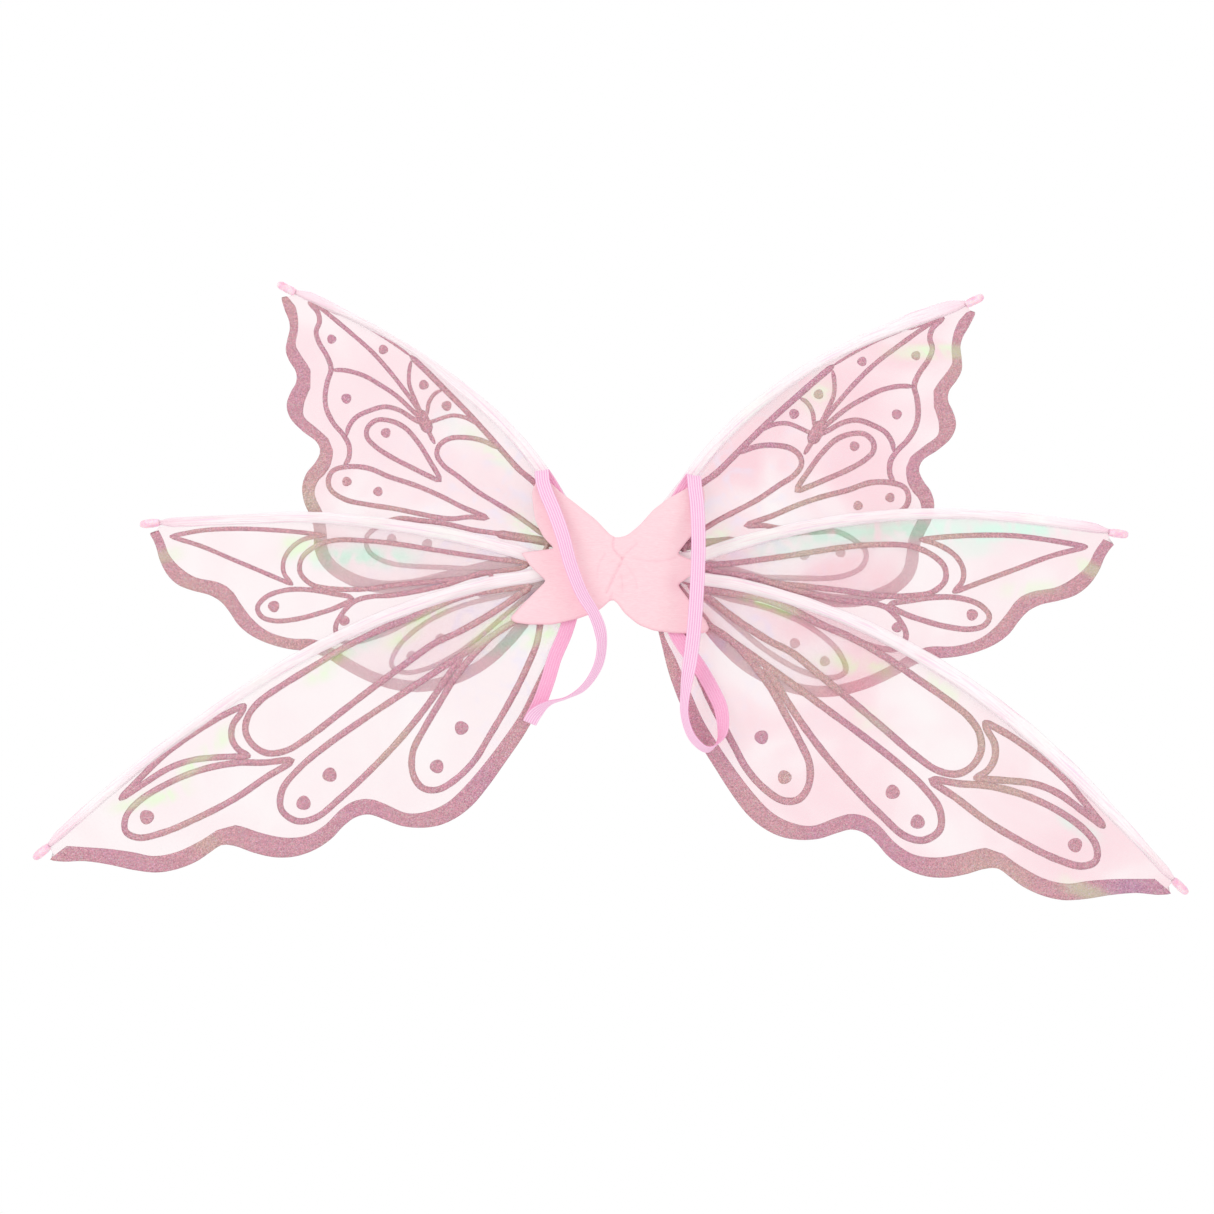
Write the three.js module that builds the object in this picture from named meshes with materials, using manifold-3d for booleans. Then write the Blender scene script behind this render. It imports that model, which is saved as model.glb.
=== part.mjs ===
// Dress-up fairy wings: six printed film wings fanned out of a padded fabric hub, worn by two elastic arm loops.
// Millimetres, +Z up. X runs across the wings, -Y is the wearer's side (arm loops), +Y is the display side.
// Origin: middle of the hub's flat front face, at the waist.
import * as THREE from 'three';
import { mergeVertices } from 'three/addons/utils/BufferGeometryUtils.js';
import Module from 'manifold-3d';

const wasm = await Module();
wasm.setup();

// ---------------------------------------------------------------- driving dimensions
const gap = 0.3;                 // running clearance between separate pieces
const coverThickness = 2.5;      // front cover, padded cloth
const backThickness = 2.0;       // back cover
const strapThickness = 1.2;      // ribbed elastic
const strapWidth = 10;
const boardThickness = 1.1;      // stiffener inside each half of the hub
const boardLength = 27;
const boardHeight = 26;
const wireDiameter = 1.6;        // spring wire in each leading edge
const filmThickness = 0.3;
const sleeveWidth = 8;           // film sleeve sewn round the wire
const sleeveWall = 0.4;
const postRadius = 2.5;          // anchor post that the wire eyes turn on
const flangeRadius = 4.4;
const flangeThickness = 0.6;
const capLength = 13.5;          // moulded cap on each wire end
const capRadius = 3.8;
const capSeat = 9;               // how deep the wire goes into its cap
const postReach = 18;            // posts, left and right of the middle
const waistHalf = 4.2;           // half width of the tucked strip in the middle
const foldBead = coverThickness / 2;

const wireRadius = wireDiameter / 2;
const bore = wireRadius + 0.4;
const sleeveThickness = 2 * (bore + sleeveWall) - 0.2;
const layerPitch = sleeveThickness / 2 + filmThickness / 2 + gap + 0.05;
const strapEndY = coverThickness + gap + strapThickness / 2;
const boardY = coverThickness + gap;
const firstLayer = boardY + boardThickness + gap + wireRadius;
const layers = { lower: firstLayer, middle: firstLayer + layerPitch, upper: firstLayer + 2 * layerPitch };
const flangeY = layers.upper + wireRadius + gap;
const backY = Math.max(flangeY + flangeThickness, layers.upper + sleeveThickness / 2) + gap;
const eyeRadius = postRadius + gap + wireRadius;
const foldX = waistHalf + 0.35 + foldBead;       // fold axis, through the middle of the front cover
const sleeveStart = { upper: 44, middle: 35, lower: 35 };   // from the post to the sewn sleeve
const filmSeam = sleeveWidth / 2 + gap + 0.1;

// ---------------------------------------------------------------- materials
const paint = (color, roughness, metalness = 0, opacity = 1) =>
  new THREE.MeshStandardMaterial({ color, roughness, metalness, opacity, transparent: opacity < 1 });
const finish = {
  cover: () => paint(0xffd6dc, 0.9),
  strap: () => paint(0xfac1e4, 0.75),
  film: () => paint(0xfde4e9, 0.25, 0, 0.6),
  sleeve: () => paint(0xfeecf4, 0.3, 0, 0.7),
  wire: () => paint(0xd9d4d6, 0.35, 0.9),
  cap: () => paint(0xf79ac4, 0.45),
  board: () => paint(0xf4f0ea, 0.8),
  post: () => paint(0xe9e4e6, 0.5),
};

const group = new THREE.Group();
const place = (name, geometry, material, parent = group) => {
  const mesh = new THREE.Mesh(geometry, material);
  mesh.name = name;
  parent.add(mesh);
  return mesh;
};

// ---------------------------------------------------------------- joining and cutting
function toSolid(geometry) {
  const bare = geometry.clone();
  bare.deleteAttribute('normal');
  bare.deleteAttribute('uv');
  const merged = mergeVertices(bare, 1e-4);
  return new wasm.Manifold(new wasm.Mesh({
    numProp: 3,
    vertProperties: new Float32Array(merged.attributes.position.array),
    triVerts: new Uint32Array(merged.index.array),
  }));
}
function toGeometry(solid) {
  const mesh = solid.getMesh();
  const geometry = new THREE.BufferGeometry();
  geometry.setAttribute('position', new THREE.BufferAttribute(new Float32Array(mesh.vertProperties), 3));
  geometry.setIndex(new THREE.BufferAttribute(new Uint32Array(mesh.triVerts), 1));
  return geometry;
}

// a prism whose outline lies in the X-Z plane, from y0 to y1
function prismXZ(points, y0, y1) {
  const shape = new THREE.Shape(points.map(([x, z]) => new THREE.Vector2(x, z)));
  const geometry = new THREE.ExtrudeGeometry(shape, { depth: y1 - y0, bevelEnabled: false });
  geometry.rotateX(Math.PI / 2);
  geometry.translate(0, y1, 0);
  return geometry;
}
// a prism whose outline lies in the X-Y plane, from z0 to z1
function prismXY(points, z0, z1) {
  const shape = new THREE.Shape(points.map(([x, y]) => new THREE.Vector2(x, y)));
  const geometry = new THREE.ExtrudeGeometry(shape, { depth: z1 - z0, bevelEnabled: false });
  geometry.translate(0, 0, z0);
  return geometry;
}

// ---------------------------------------------------------------- hub outline, hand-sewn so its halves differ a little
const hubRight = [
  [0, 22], [4, 22.2], [9, 24.2], [17, 31.3], [26, 42], [36, 50], [46, 56], [53, 60.2], [58, 61], [61, 57.5],
  [61.8, 50], [60, 38], [56.5, 28.5], [51.5, 22.5], [43.5, 11.6], [59, 5.5], [60, 1.5], [44.4, -10], [51.6, -19],
  [58, -26.5], [64.5, -34], [67.2, -40], [65, -43], [54.7, -43.8], [41.4, -43.7], [28, -42.3], [17.5, -38.4], [8, -31],
  [2.4, -23.6], [0, -22],
];
const hubLeft = [
  [0, 22], [-4, 24], [-13.8, 33.9], [-27.8, 44.5], [-38.8, 52.4], [-45, 58], [-50.3, 61.2], [-55.5, 60], [-58.5, 55],
  [-58.7, 48], [-56.5, 34], [-54.3, 28.5], [-49.9, 20.4], [-42.4, 13.2], [-65.7, 9.5], [-58, -0.5], [-47.4, -9.6],
  [-56, -18.5], [-65, -28], [-71.9, -36.2], [-69, -39.2], [-58.8, -40.4], [-42.7, -40], [-25.7, -35.8], [-16.3, -32.2],
  [-9, -28.4], [-2.6, -22.2], [0, -22],
];
const hubTall = 90;

const outline = prismXZ([...hubRight, ...hubLeft.slice(1, -1).reverse()], -1, backY + backThickness + 1);
const hubPrism = toSolid(outline);

// front cover slab of one half; its inner edge is a bead round the fold axis, so it never meets the middle strip
function frontSlab(side) {
  const points = [];
  for (let i = 0; i <= 8; i++) {
    const a = Math.PI / 2 + (i / 8) * Math.PI;
    points.push([side * (foldX + foldBead * Math.cos(a)), foldBead + foldBead * Math.sin(a)]);
  }
  points.push([side * 100, 0], [side * 100, coverThickness]);
  return prismXY(points, -hubTall, hubTall);
}
// back cover slab of one half: it lies on the front cover at the waist and steps back to clear post, eyes and sleeves
function backSlab(side) {
  const inner = foldX + 2.4;
  const wall = postReach - eyeRadius - wireRadius - 0.4;
  const y0 = coverThickness + gap;
  return prismXY([
    [side * inner, y0], [side * (inner + 3.2), y0], [side * wall, backY], [side * 100, backY],
    [side * 100, backY + backThickness], [side * (wall - 2.1), backY + backThickness], [side * (inner + 1.5), y0 + 1.6], [side * inner, y0 + 1.5],
  ], -hubTall, hubTall);
}

place('front_cover_centre', toGeometry(hubPrism.intersect(toSolid(
  prismXY([[-waistHalf, 0], [waistHalf, 0], [waistHalf, coverThickness], [-waistHalf, coverThickness]], -hubTall, hubTall)))), finish.cover());
place('back_cover_centre', toGeometry(hubPrism.intersect(toSolid(
  prismXY([[-waistHalf, coverThickness + gap], [waistHalf, coverThickness + gap],
    [waistHalf, coverThickness + gap + 1.5], [-waistHalf, coverThickness + gap + 1.5]], -hubTall, hubTall)))), finish.cover());

for (const [name, side] of [['left', -1], ['right', 1]]) {
  place(`${name}_front_cover`, toGeometry(hubPrism.intersect(toSolid(frontSlab(side)))), finish.cover());
  place(`${name}_back_cover`, toGeometry(hubPrism.intersect(toSolid(backSlab(side)))), finish.cover());

  // stiffener board behind the front cover, and the anchor post that stands on it
  const board = new THREE.BoxGeometry(boardLength, boardThickness, boardHeight);
  const boardX = side * (postReach - 4.5 + boardLength / 2);
  place(`${name}_stiffener_board`, board, finish.board()).position.set(boardX, boardY + boardThickness / 2, 0);

  const postFoot = layers.lower - wireRadius;
  const post = new THREE.LatheGeometry([
    new THREE.Vector2(0, 0), new THREE.Vector2(postRadius, 0), new THREE.Vector2(postRadius, flangeY - postFoot),
    new THREE.Vector2(flangeRadius, flangeY - postFoot), new THREE.Vector2(flangeRadius, flangeY - postFoot + flangeThickness),
    new THREE.Vector2(0, flangeY - postFoot + flangeThickness),
  ], 14);
  place(`${name}_anchor_post`, post, finish.post()).position.set(side * postReach, postFoot, 0);
}

// ---------------------------------------------------------------- elastic arm loops
// a flat ribbon: the middle line and the direction of its width at each stated point
function ribbon(stations, steps) {
  const middle = new THREE.CatmullRomCurve3(stations.map(([p]) => new THREE.Vector3(...p)), false, 'centripetal');
  const across = new THREE.CatmullRomCurve3(stations.map(([, w]) => new THREE.Vector3(...w)), false, 'catmullrom', 0.5);
  const position = [], index = [];
  for (let i = 0; i <= steps; i++) {
    const t = i / steps;
    const p = middle.getPoint(t), along = middle.getTangent(t);
    const w = across.getPoint(t);
    w.addScaledVector(along, -w.dot(along)).normalize();
    const n = new THREE.Vector3().crossVectors(along, w).normalize();
    for (const [a, b] of [[-1, -1], [1, -1], [1, 1], [-1, 1]]) {
      const q = p.clone().addScaledVector(w, (a * strapWidth) / 2).addScaledVector(n, (b * strapThickness) / 2);
      position.push(q.x, q.y, q.z);
    }
  }
  for (let i = 0; i < steps; i++) {
    for (let k = 0; k < 4; k++) {
      const a = i * 4 + k, b = i * 4 + ((k + 1) % 4), c = a + 4, d = b + 4;
      index.push(a, b, d, a, d, c);
    }
  }
  const e = steps * 4;
  index.push(0, 2, 1, 0, 3, 2, e, e + 1, e + 2, e, e + 2, e + 3);
  const geometry = new THREE.BufferGeometry();
  geometry.setAttribute('position', new THREE.Float32BufferAttribute(position, 3));
  geometry.setIndex(index);
  return geometry;
}
const y = strapEndY;
const rightLoop = [
  [[51, y, 40], [1, 0, 0]], [[52.6, y + 0.1, 59.5], [1, 0, 0]], [[53, 3, 64.6], [1, 0, 0]], [[53.4, 1, 66.4], [1, 0, 0]],
  [[53.8, -1.4, 64.6], [1, 0, 0]], [[54.4, -3, 59], [1, 0, 0]],
  [[56.2, -7, 46], [1, 0, 0]], [[57.8, -12, 18], [1, 0, 0]], [[57.4, -14, -15], [1, 0, 0]], [[56, -13.5, -43], [1, 0, 0]],
  [[54, -12, -63], [0.96, -0.2, 0]], [[51.6, -10.5, -82], [0.7, -0.7, 0.1]], [[51.4, -9, -101], [0.5, -0.85, 0.2]],
  [[58, -8, -117], [0.42, -0.85, 0.36]], [[68.4, -7, -124], [0.25, -0.85, 0.45]], [[77.4, -5, -115], [0.6, -0.65, 0.45]],
  [[77, -1.6, -97], [0.88, -0.3, 0.3]], [[70.4, 1, -82.5], [0.88, 0, 0.44]], [[60.6, 2.6, -66.5], [0.86, 0, 0.5]],
  [[50, y, -53], [0.8, 0, 0.55]], [[43.6, y, -43], [0.86, 0, 0.5]], [[38, y, -27], [0.94, 0, 0.3]],
];
const leftLoop = [
  [[-49.5, y, 40], [1, 0, 0]], [[-51.8, y + 0.1, 60], [1, 0, 0]], [[-52.3, 3, 65], [1, 0, 0]], [[-52.5, 1, 66.8], [1, 0, 0]],
  [[-52.3, -1.4, 65], [1, 0, 0]], [[-51.6, -3.2, 59.5], [0.97, 0, 0.1]],
  [[-49, -6.5, 52], [0.92, 0, 0.3]], [[-42.7, -9.5, 38], [0.93, 0, 0.36]], [[-36.6, -12, 22], [0.94, 0, 0.34]],
  [[-30.5, -13, 2], [0.93, 0, 0.36]], [[-22.3, -13, -17.4], [0.9, 0, 0.42]], [[-13.6, -12, -31.2], [0.83, 0.3, 0.4]],
  [[-9.1, -11, -42], [0.5, 0.85, 0.2]], [[-7.4, -10, -53], [0.25, 0.96, 0]], [[-9.8, -9, -68], [0.15, 0.98, -0.1]],
  [[-19.2, -8.5, -83], [0.1, 0.98, -0.1]], [[-31, -8, -90.5], [0.1, 0.97, -0.1]], [[-44, -7.4, -95], [0.4, 0.85, -0.2]],
  [[-53, -6, -103], [0.85, 0.35, -0.4]], [[-56.2, -4, -108.5], [0.93, 0.1, -0.35]], [[-54.6, -1.2, -105], [0.93, 0.05, -0.33]],
  [[-49.6, 0.8, -94], [0.95, 0, -0.3]], [[-44.5, 2.2, -79], [0.95, 0, -0.3]], [[-40, 3, -62.7], [0.94, 0, -0.32]],
  [[-33.5, y, -46.4], [0.92, 0, -0.38]], [[-28.5, y, -29], [0.95, 0, -0.3]],
];
place('right_arm_strap', ribbon(rightLoop, 38), finish.strap());
place('left_arm_strap', ribbon(leftLoop, 44), finish.strap());

// ---------------------------------------------------------------- wings
// Each shape is given from its wing tip: first number along the chord (negative towards the hub), second number
// across it, positive towards the trailing edge.
const wings = {
  upper: {
    span: 306,
    wire: [[-262, -21], [-242, -27], [-222, -31.5], [-198, -34.8], [-170, -36], [-140, -34.8], [-112, -31], [-84, -24.5], [-58, -16.6], [-34, -8.8], [-18, -4], [0, 0]],
    trail: [[-13, 4.6], [-10.5, 5.4], [-20, 10.4], [-29, 14], [-34, 18], [-38, 24.5], [-43, 31], [-50, 34.5], [-59, 37], [-64, 42], [-66, 50], [-70, 58.5],
      [-78, 63.5], [-91, 64.5], [-104, 63.5], [-110, 67], [-112.5, 75], [-113, 84], [-117, 93], [-125, 100], [-136, 105], [-144, 110], [-151, 117.5],
      [-160, 123.2], [-171, 125], [-184, 123.2], [-199, 117.5], [-213, 108], [-227, 93], [-241, 72.5], [-255, 52], [-268, 34], [-280, 19], [-290, 8]],
  },
  middle: {
    span: 341,
    wire: [[-300, -6], [-280, -10.8], [-258, -15], [-232, -18.8], [-204, -21.6], [-172, -23], [-140, -22.4], [-110, -19.8], [-80, -15.4], [-52, -10.4], [-26, -5.2], [0, 0]],
    trail: [[-13, 4.9], [-9.5, 5.6], [-13, 9.5], [-17, 15], [-21, 23], [-29, 33], [-39, 39.5], [-51, 42.5], [-64, 44.5], [-73, 48.5], [-80, 55], [-87, 63], [-97, 69.5],
      [-110, 74], [-125, 76.5], [-140, 77], [-154, 80], [-168, 86.5], [-188, 94], [-210, 98], [-232, 96.5], [-256, 87.5], [-275, 75], [-291, 58],
      [-305, 38], [-318, 20], [-326, 8]],
  },
  lower: {
    span: 443,
    wire: [[-402, -15], [-382, -22], [-358, -28], [-326, -34.2], [-288, -39], [-248, -40.6], [-206, -39.4], [-164, -35], [-122, -27.8], [-82, -19.4], [-42, -9.8], [-20, -4.4], [0, 0]],
    trail: [[-13, 4.9], [-9, 5.8], [-16, 11.2], [-30, 18], [-45, 28.5], [-59, 40], [-72, 48.5], [-86, 53], [-101, 54.5], [-113, 53.2], [-122, 52.5], [-130, 57.5],
      [-139, 67], [-151, 77], [-164, 83.2], [-179, 85.5], [-193, 84], [-205, 80], [-215, 78.6], [-224, 81], [-232, 89], [-240, 98], [-251, 105.5],
      [-264, 110.5], [-278, 111.5], [-292, 109], [-308, 102.5], [-328, 92.5], [-348, 82], [-368, 69], [-388, 53], [-403, 38], [-416, 24], [-424, 10]],
  },
};
// how high each chord stands at rest, how far the wing reaches seen square on, how much its tip curls short,
// and how strongly its wire is bowed
const set = {
  right: {
    upper: { lift: 40.1, reach: 1, curl: 0, bow: 1.04 }, middle: { lift: 5.6, reach: 1, curl: 0, bow: 1.05 }, lower: { lift: -29.1, reach: 1, curl: 0, bow: 1.1 },
  },
  left: {
    upper: { lift: 41, reach: 0.987, curl: 8, bow: 0.96 }, middle: { lift: 4.1, reach: 0.945, curl: 8, bow: 0.74 }, lower: { lift: -29.1, reach: 0.985, curl: 0, bow: 0.95 },
  },
};

// a curve whose stations follow its points, so that the small eye gets as many as it needs
class StationCurve extends THREE.CatmullRomCurve3 {
  constructor(points, from = 0, to = 1) {
    super(points, false, 'centripetal');
    this.from = from;
    this.to = to;
  }
  getUtoTmapping(u) { return u; }
  getPoint(t, target) { return super.getPoint(this.from + (this.to - this.from) * t, target); }
}

for (const [sideName, side] of [['left', -1], ['right', 1]]) {
  for (const kind of ['upper', 'middle', 'lower']) {
    const { span, wire, trail } = wings[kind];
    const { lift, reach, curl, bow } = set[sideName][kind];
    const local = ([a, b]) => [(span + a) * reach - curl * Math.max(0, 1 + a / 60) ** 2, -b];
    const holder = new THREE.Group();
    holder.position.set(side * postReach, layers[kind], 0);
    holder.rotation.y = -side * THREE.MathUtils.degToRad(lift);
    group.add(holder);

    // wire: an eye round the post, then straight to the leading edge and along it
    const lead = new THREE.CatmullRomCurve3(wire.map(([a, b]) => local([a, b * bow])).map(([u, v]) => new THREE.Vector3(u, v, 0)), false, 'centripetal')
      .getPoints(20).map((p) => [p.x, p.y]);
    const [fx, fz] = lead[0];
    const touch = Math.atan2(fz, fx) + Math.acos(eyeRadius / Math.hypot(fx, fz));
    const eye = [];
    const eyeSteps = 11;
    for (let i = 0; i <= eyeSteps; i++) {
      const a = touch + THREE.MathUtils.degToRad(290) * (1 - i / eyeSteps);
      eye.push([eyeRadius * Math.cos(a), eyeRadius * Math.sin(a)]);
    }
    const [ex, ez] = eye[eyeSteps];
    const run = sleeveStart[kind] / Math.hypot(fx, fz);
    const straight = [0.2, 0.55, run].map((t) => [ex + (fx - ex) * t, ez + (fz - ez) * t]);
    const tip = lead[lead.length - 1], inward = lead[lead.length - 2];
    const end = new THREE.Vector3(side * tip[0], 0, tip[1]);
    const out = end.clone().sub(new THREE.Vector3(side * inward[0], 0, inward[1])).normalize();
    const capBase = end.clone().addScaledVector(out, -capLength + 0.6);
    const sleeveEnd = capBase.clone().addScaledVector(out, -gap - 0.1);
    const wireEnd = capBase.clone().addScaledVector(out, capSeat - 0.6);
    const path = [...eye, ...straight, ...lead.filter(([u, v]) => Math.hypot(u - tip[0], v - tip[1]) > capLength + 4)]
      .map(([u, v]) => new THREE.Vector3(side * u, 0, v));
    path.push(sleeveEnd, wireEnd);
    const last = path.length - 1;
    const ring = (radius, count) => {
      const pts = [];
      for (let i = 0; i < count; i++) pts.push(new THREE.Vector2(radius * Math.cos((2 * Math.PI * i) / count), radius * Math.sin((2 * Math.PI * i) / count)));
      return pts;
    };
    const wireCurve = new StationCurve(path);
    place(`${sideName}_${kind}_wire`, new THREE.ExtrudeGeometry(new THREE.Shape(ring(wireRadius, 6)),
      { steps: last, bevelEnabled: false, extrudePath: wireCurve }), finish.wire(), holder);

    // sleeve: flat film tube round the wire, from the hub edge to the cap
    const first = eyeSteps + straight.length;
    const from = first / last, to = (last - 1) / last;
    const h = sleeveThickness / 2, w = sleeveWidth / 2;
    const section = new THREE.Shape([[-h, -1.9], [-h, 1.9], [-0.5, w - 0.3], [0, w], [0.5, w - 0.3], [h, 1.9], [h, -1.9], [0.5, -w + 0.3], [0, -w], [-0.5, -w + 0.3]]
      .map(([a, b]) => new THREE.Vector2(a, b)));
    section.holes.push(new THREE.Path(ring(bore, 6)));
    place(`${sideName}_${kind}_sleeve`, new THREE.ExtrudeGeometry(section,
      { steps: last - 1 - first, bevelEnabled: false, extrudePath: new StationCurve(path, from, to) }), finish.sleeve(), holder);

    // tip cap: blind bore over the wire end
    const cap = new THREE.LatheGeometry([
      [0, capSeat], [bore, capSeat], [bore, 0], [capRadius - 0.5, 0], [capRadius, 1], [capRadius, capLength - 4], [capRadius - 1, capLength - 1.2], [0, capLength],
    ].map(([a, b]) => new THREE.Vector2(a, b)), 9);
    const capMesh = place(`${sideName}_${kind}_tip_cap`, cap, finish.cap(), holder);
    capMesh.position.copy(capBase);
    capMesh.quaternion.setFromUnitVectors(new THREE.Vector3(0, 1, 0), out);

    // film: from the seam beside the sleeve to the scalloped trailing edge
    const edge = [];
    for (let i = eyeSteps + 1; i < last; i++) {
      const p = path[i];
      const tan = path[Math.min(last, i + 1)].clone().sub(path[i - 1]).normalize();
      const u = side * p.x, v = p.z, du = side * tan.x, dv = tan.z;
      const q = [u + dv * filmSeam, v - du * filmSeam];
      if (q[0] > 13) edge.push(q);
    }
    const back = trail.map(local);
    const film = prismXZ([...edge, ...back].map(([u, v]) => [side * u, v]), -filmThickness / 2, filmThickness / 2);
    place(`${sideName}_${kind}_film`, film, finish.film(), holder);
  }
}

export default group;
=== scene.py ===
import math

import bmesh
import bpy
from mathutils import Matrix, Vector, geometry, kdtree, noise


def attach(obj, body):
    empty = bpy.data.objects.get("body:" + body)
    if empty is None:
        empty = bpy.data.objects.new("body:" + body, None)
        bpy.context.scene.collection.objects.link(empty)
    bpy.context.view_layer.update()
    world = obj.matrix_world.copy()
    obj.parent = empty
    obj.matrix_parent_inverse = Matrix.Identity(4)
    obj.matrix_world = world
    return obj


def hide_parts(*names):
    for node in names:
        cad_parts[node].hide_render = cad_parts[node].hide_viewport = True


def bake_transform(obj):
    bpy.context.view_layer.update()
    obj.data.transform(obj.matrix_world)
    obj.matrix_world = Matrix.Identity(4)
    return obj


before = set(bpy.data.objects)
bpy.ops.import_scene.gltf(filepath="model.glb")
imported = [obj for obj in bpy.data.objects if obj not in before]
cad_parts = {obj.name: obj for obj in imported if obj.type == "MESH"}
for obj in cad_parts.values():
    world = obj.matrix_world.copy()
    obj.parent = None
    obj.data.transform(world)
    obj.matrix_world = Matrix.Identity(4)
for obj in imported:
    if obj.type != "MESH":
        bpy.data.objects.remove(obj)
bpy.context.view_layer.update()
bpy.ops.object.select_all(action="DESELECT")

MM = 0.001
CAMERA_PLACE = (-0.00455, -3.0, -0.0267)
CAMERA_TILT = math.radians(-1.5)
CAMERA_LENS = 127.65
FLOOR_PLACE = (0, -0.6, -0.56)
CORDS = 6  # raised cords across an arm loop
PICK = 1.3  # length of one woven row of an arm loop, in millimetres

# ---------------------------------------------------------------- camera, room and lights
camera = bpy.data.objects.new("camera", bpy.data.cameras.new("camera"))
bpy.context.scene.collection.objects.link(camera)
camera.location = CAMERA_PLACE
camera.rotation_euler = (math.radians(90), CAMERA_TILT, 0)
camera.data.lens = CAMERA_LENS
camera.data.clip_end = 30
bpy.context.scene.camera = camera
bpy.context.scene.view_settings.view_transform = "Standard"
bpy.context.scene.cycles.transparent_max_bounces = 32

world = bpy.data.worlds.new("studio")
bpy.context.scene.world = world
world.use_nodes = True
sky = world.node_tree.nodes
sky.clear()
seen = sky.new("ShaderNodeBackground")
seen.inputs["Color"].default_value = (1, 1, 1, 1)
seen.inputs["Strength"].default_value = 1.0
room = sky.new("ShaderNodeBackground")
room.inputs["Color"].default_value = (1, 0.99, 0.985, 1)
room.inputs["Strength"].default_value = 0.86
which = sky.new("ShaderNodeLightPath")
either = sky.new("ShaderNodeMixShader")
sky_out = sky.new("ShaderNodeOutputWorld")
wire_up = world.node_tree.links.new
wire_up(which.outputs["Is Camera Ray"], either.inputs[0])
wire_up(room.outputs[0], either.inputs[1])
wire_up(seen.outputs[0], either.inputs[2])
wire_up(either.outputs[0], sky_out.inputs["Surface"])


def soft_light(name, place, aim, size, power, colour=(1, 1, 1)):
    lamp = bpy.data.objects.new(name, bpy.data.lights.new(name, "AREA"))
    bpy.context.scene.collection.objects.link(lamp)
    lamp.data.shape = "RECTANGLE"
    lamp.data.size, lamp.data.size_y = size
    lamp.data.energy = power
    lamp.data.color = colour
    lamp.location = place
    lamp.rotation_euler = (Vector(aim) - Vector(place)).to_track_quat("-Z", "Y").to_euler()


soft_light("softbox_left", (-1.6, -1.7, 1.3), (0, 0, 0), (1.2, 1.2), 13)
soft_light("softbox_right", (1.9, -1.5, 0.5), (0, 0, 0), (0.9, 1.4), 5)
soft_light("softbox_back", (0.3, 1.8, 1.4), (0, 0, 0), (1.4, 1.0), 8)

bpy.ops.mesh.primitive_plane_add(size=1, location=FLOOR_PLACE)
floor = bpy.context.active_object
floor.name = "studio_floor"
floor.scale = (4.0, 2.4, 1)
bpy.ops.object.transform_apply(location=True, rotation=False, scale=True)


# ---------------------------------------------------------------- materials
class Finish:
    """A material with one Principled shader, and short calls for the nodes that feed it."""

    def __init__(self, name, colour=(0.8, 0.8, 0.8), roughness=0.5, **constants):
        self.material = bpy.data.materials.new(name)
        self.material.use_nodes = True
        self.tree = self.material.node_tree
        self.shader = self.tree.nodes["Principled BSDF"]
        self.set("Base Color", (*colour, 1))
        self.set("Roughness", roughness)
        for socket, value in constants.items():
            self.set(socket.replace("_", " "), value)

    def set(self, socket, value):
        self.shader.inputs[socket].default_value = value

    def node(self, kind, inputs=None, **settings):
        made = self.tree.nodes.new("ShaderNode" + kind)
        for key, value in settings.items():
            setattr(made, key, value)
        for key, value in (inputs or {}).items():
            if isinstance(value, bpy.types.NodeSocket):
                self.tree.links.new(value, made.inputs[key])
            else:
                made.inputs[key].default_value = value
        return made

    def place(self):
        return self.node("TexCoord").outputs["Object"]

    def map(self, name):
        return self.node("UVMap", uv_map=name).outputs["UV"]

    def stretched(self, vector, scale):
        return self.node("Mapping", {"Vector": vector, "Scale": scale}).outputs[0]

    def attribute(self, name):
        return self.node("Attribute", attribute_name=name).outputs["Fac"]

    def cloud(self, vector, scale=1.0, detail=2.0, **more):
        made = self.node("TexNoise", {"Vector": vector, "Scale": scale, "Detail": detail, **more})
        return made.outputs["Fac"]

    def ramp(self, factor, *stops):
        made = self.node("ValToRGB", {"Fac": factor})
        row = made.color_ramp.elements
        while len(row) < len(stops):
            row.new(0.5)
        for element, (at, colour) in zip(row, stops):
            element.position = at
            element.color = (*colour, 1) if len(colour) == 3 else colour
        return made.outputs["Color"]

    def mix(self, factor, a, b, blend="MIX"):
        made = self.node("Mix", data_type="RGBA", blend_type=blend)
        for at, value in ((0, factor), (6, a), (7, b)):
            if isinstance(value, bpy.types.NodeSocket):
                self.tree.links.new(value, made.inputs[at])
            else:
                made.inputs[at].default_value = value if at == 0 else (*value, 1)
        return made.outputs[2]

    def sum(self, operation, a, b=0.0, c=0.0, clamp=False):
        made = self.node("Math", operation=operation, use_clamp=clamp)
        for at, value in enumerate((a, b, c)):
            if isinstance(value, bpy.types.NodeSocket):
                self.tree.links.new(value, made.inputs[at])
            else:
                made.inputs[at].default_value = value
        return made.outputs[0]

    def times(self, a, b, clamp=False):
        return self.sum("MULTIPLY", a, b, clamp=clamp)

    def spread(self, value, low, high, out_low=0.0, out_high=1.0):
        return self.node("MapRange", {0: value, 1: low, 2: high, 3: out_low, 4: out_high}).outputs[0]

    def colour(self, socket):
        self.tree.links.new(socket, self.shader.inputs["Base Color"])

    def rough(self, socket):
        self.tree.links.new(socket, self.shader.inputs["Roughness"])

    def bump(self, height, distance, strength=1.0):
        made = self.node("Bump", {"Height": height, "Distance": distance, "Strength": strength})
        self.tree.links.new(made.outputs[0], self.shader.inputs["Normal"])


def white_floor():
    f = Finish("studio_white", (0.93, 0.925, 0.92), 0.9)
    f.colour(f.mix(f.cloud(f.place(), 30.0), (0.94, 0.935, 0.93), (0.92, 0.915, 0.91)))
    return f.material


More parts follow.
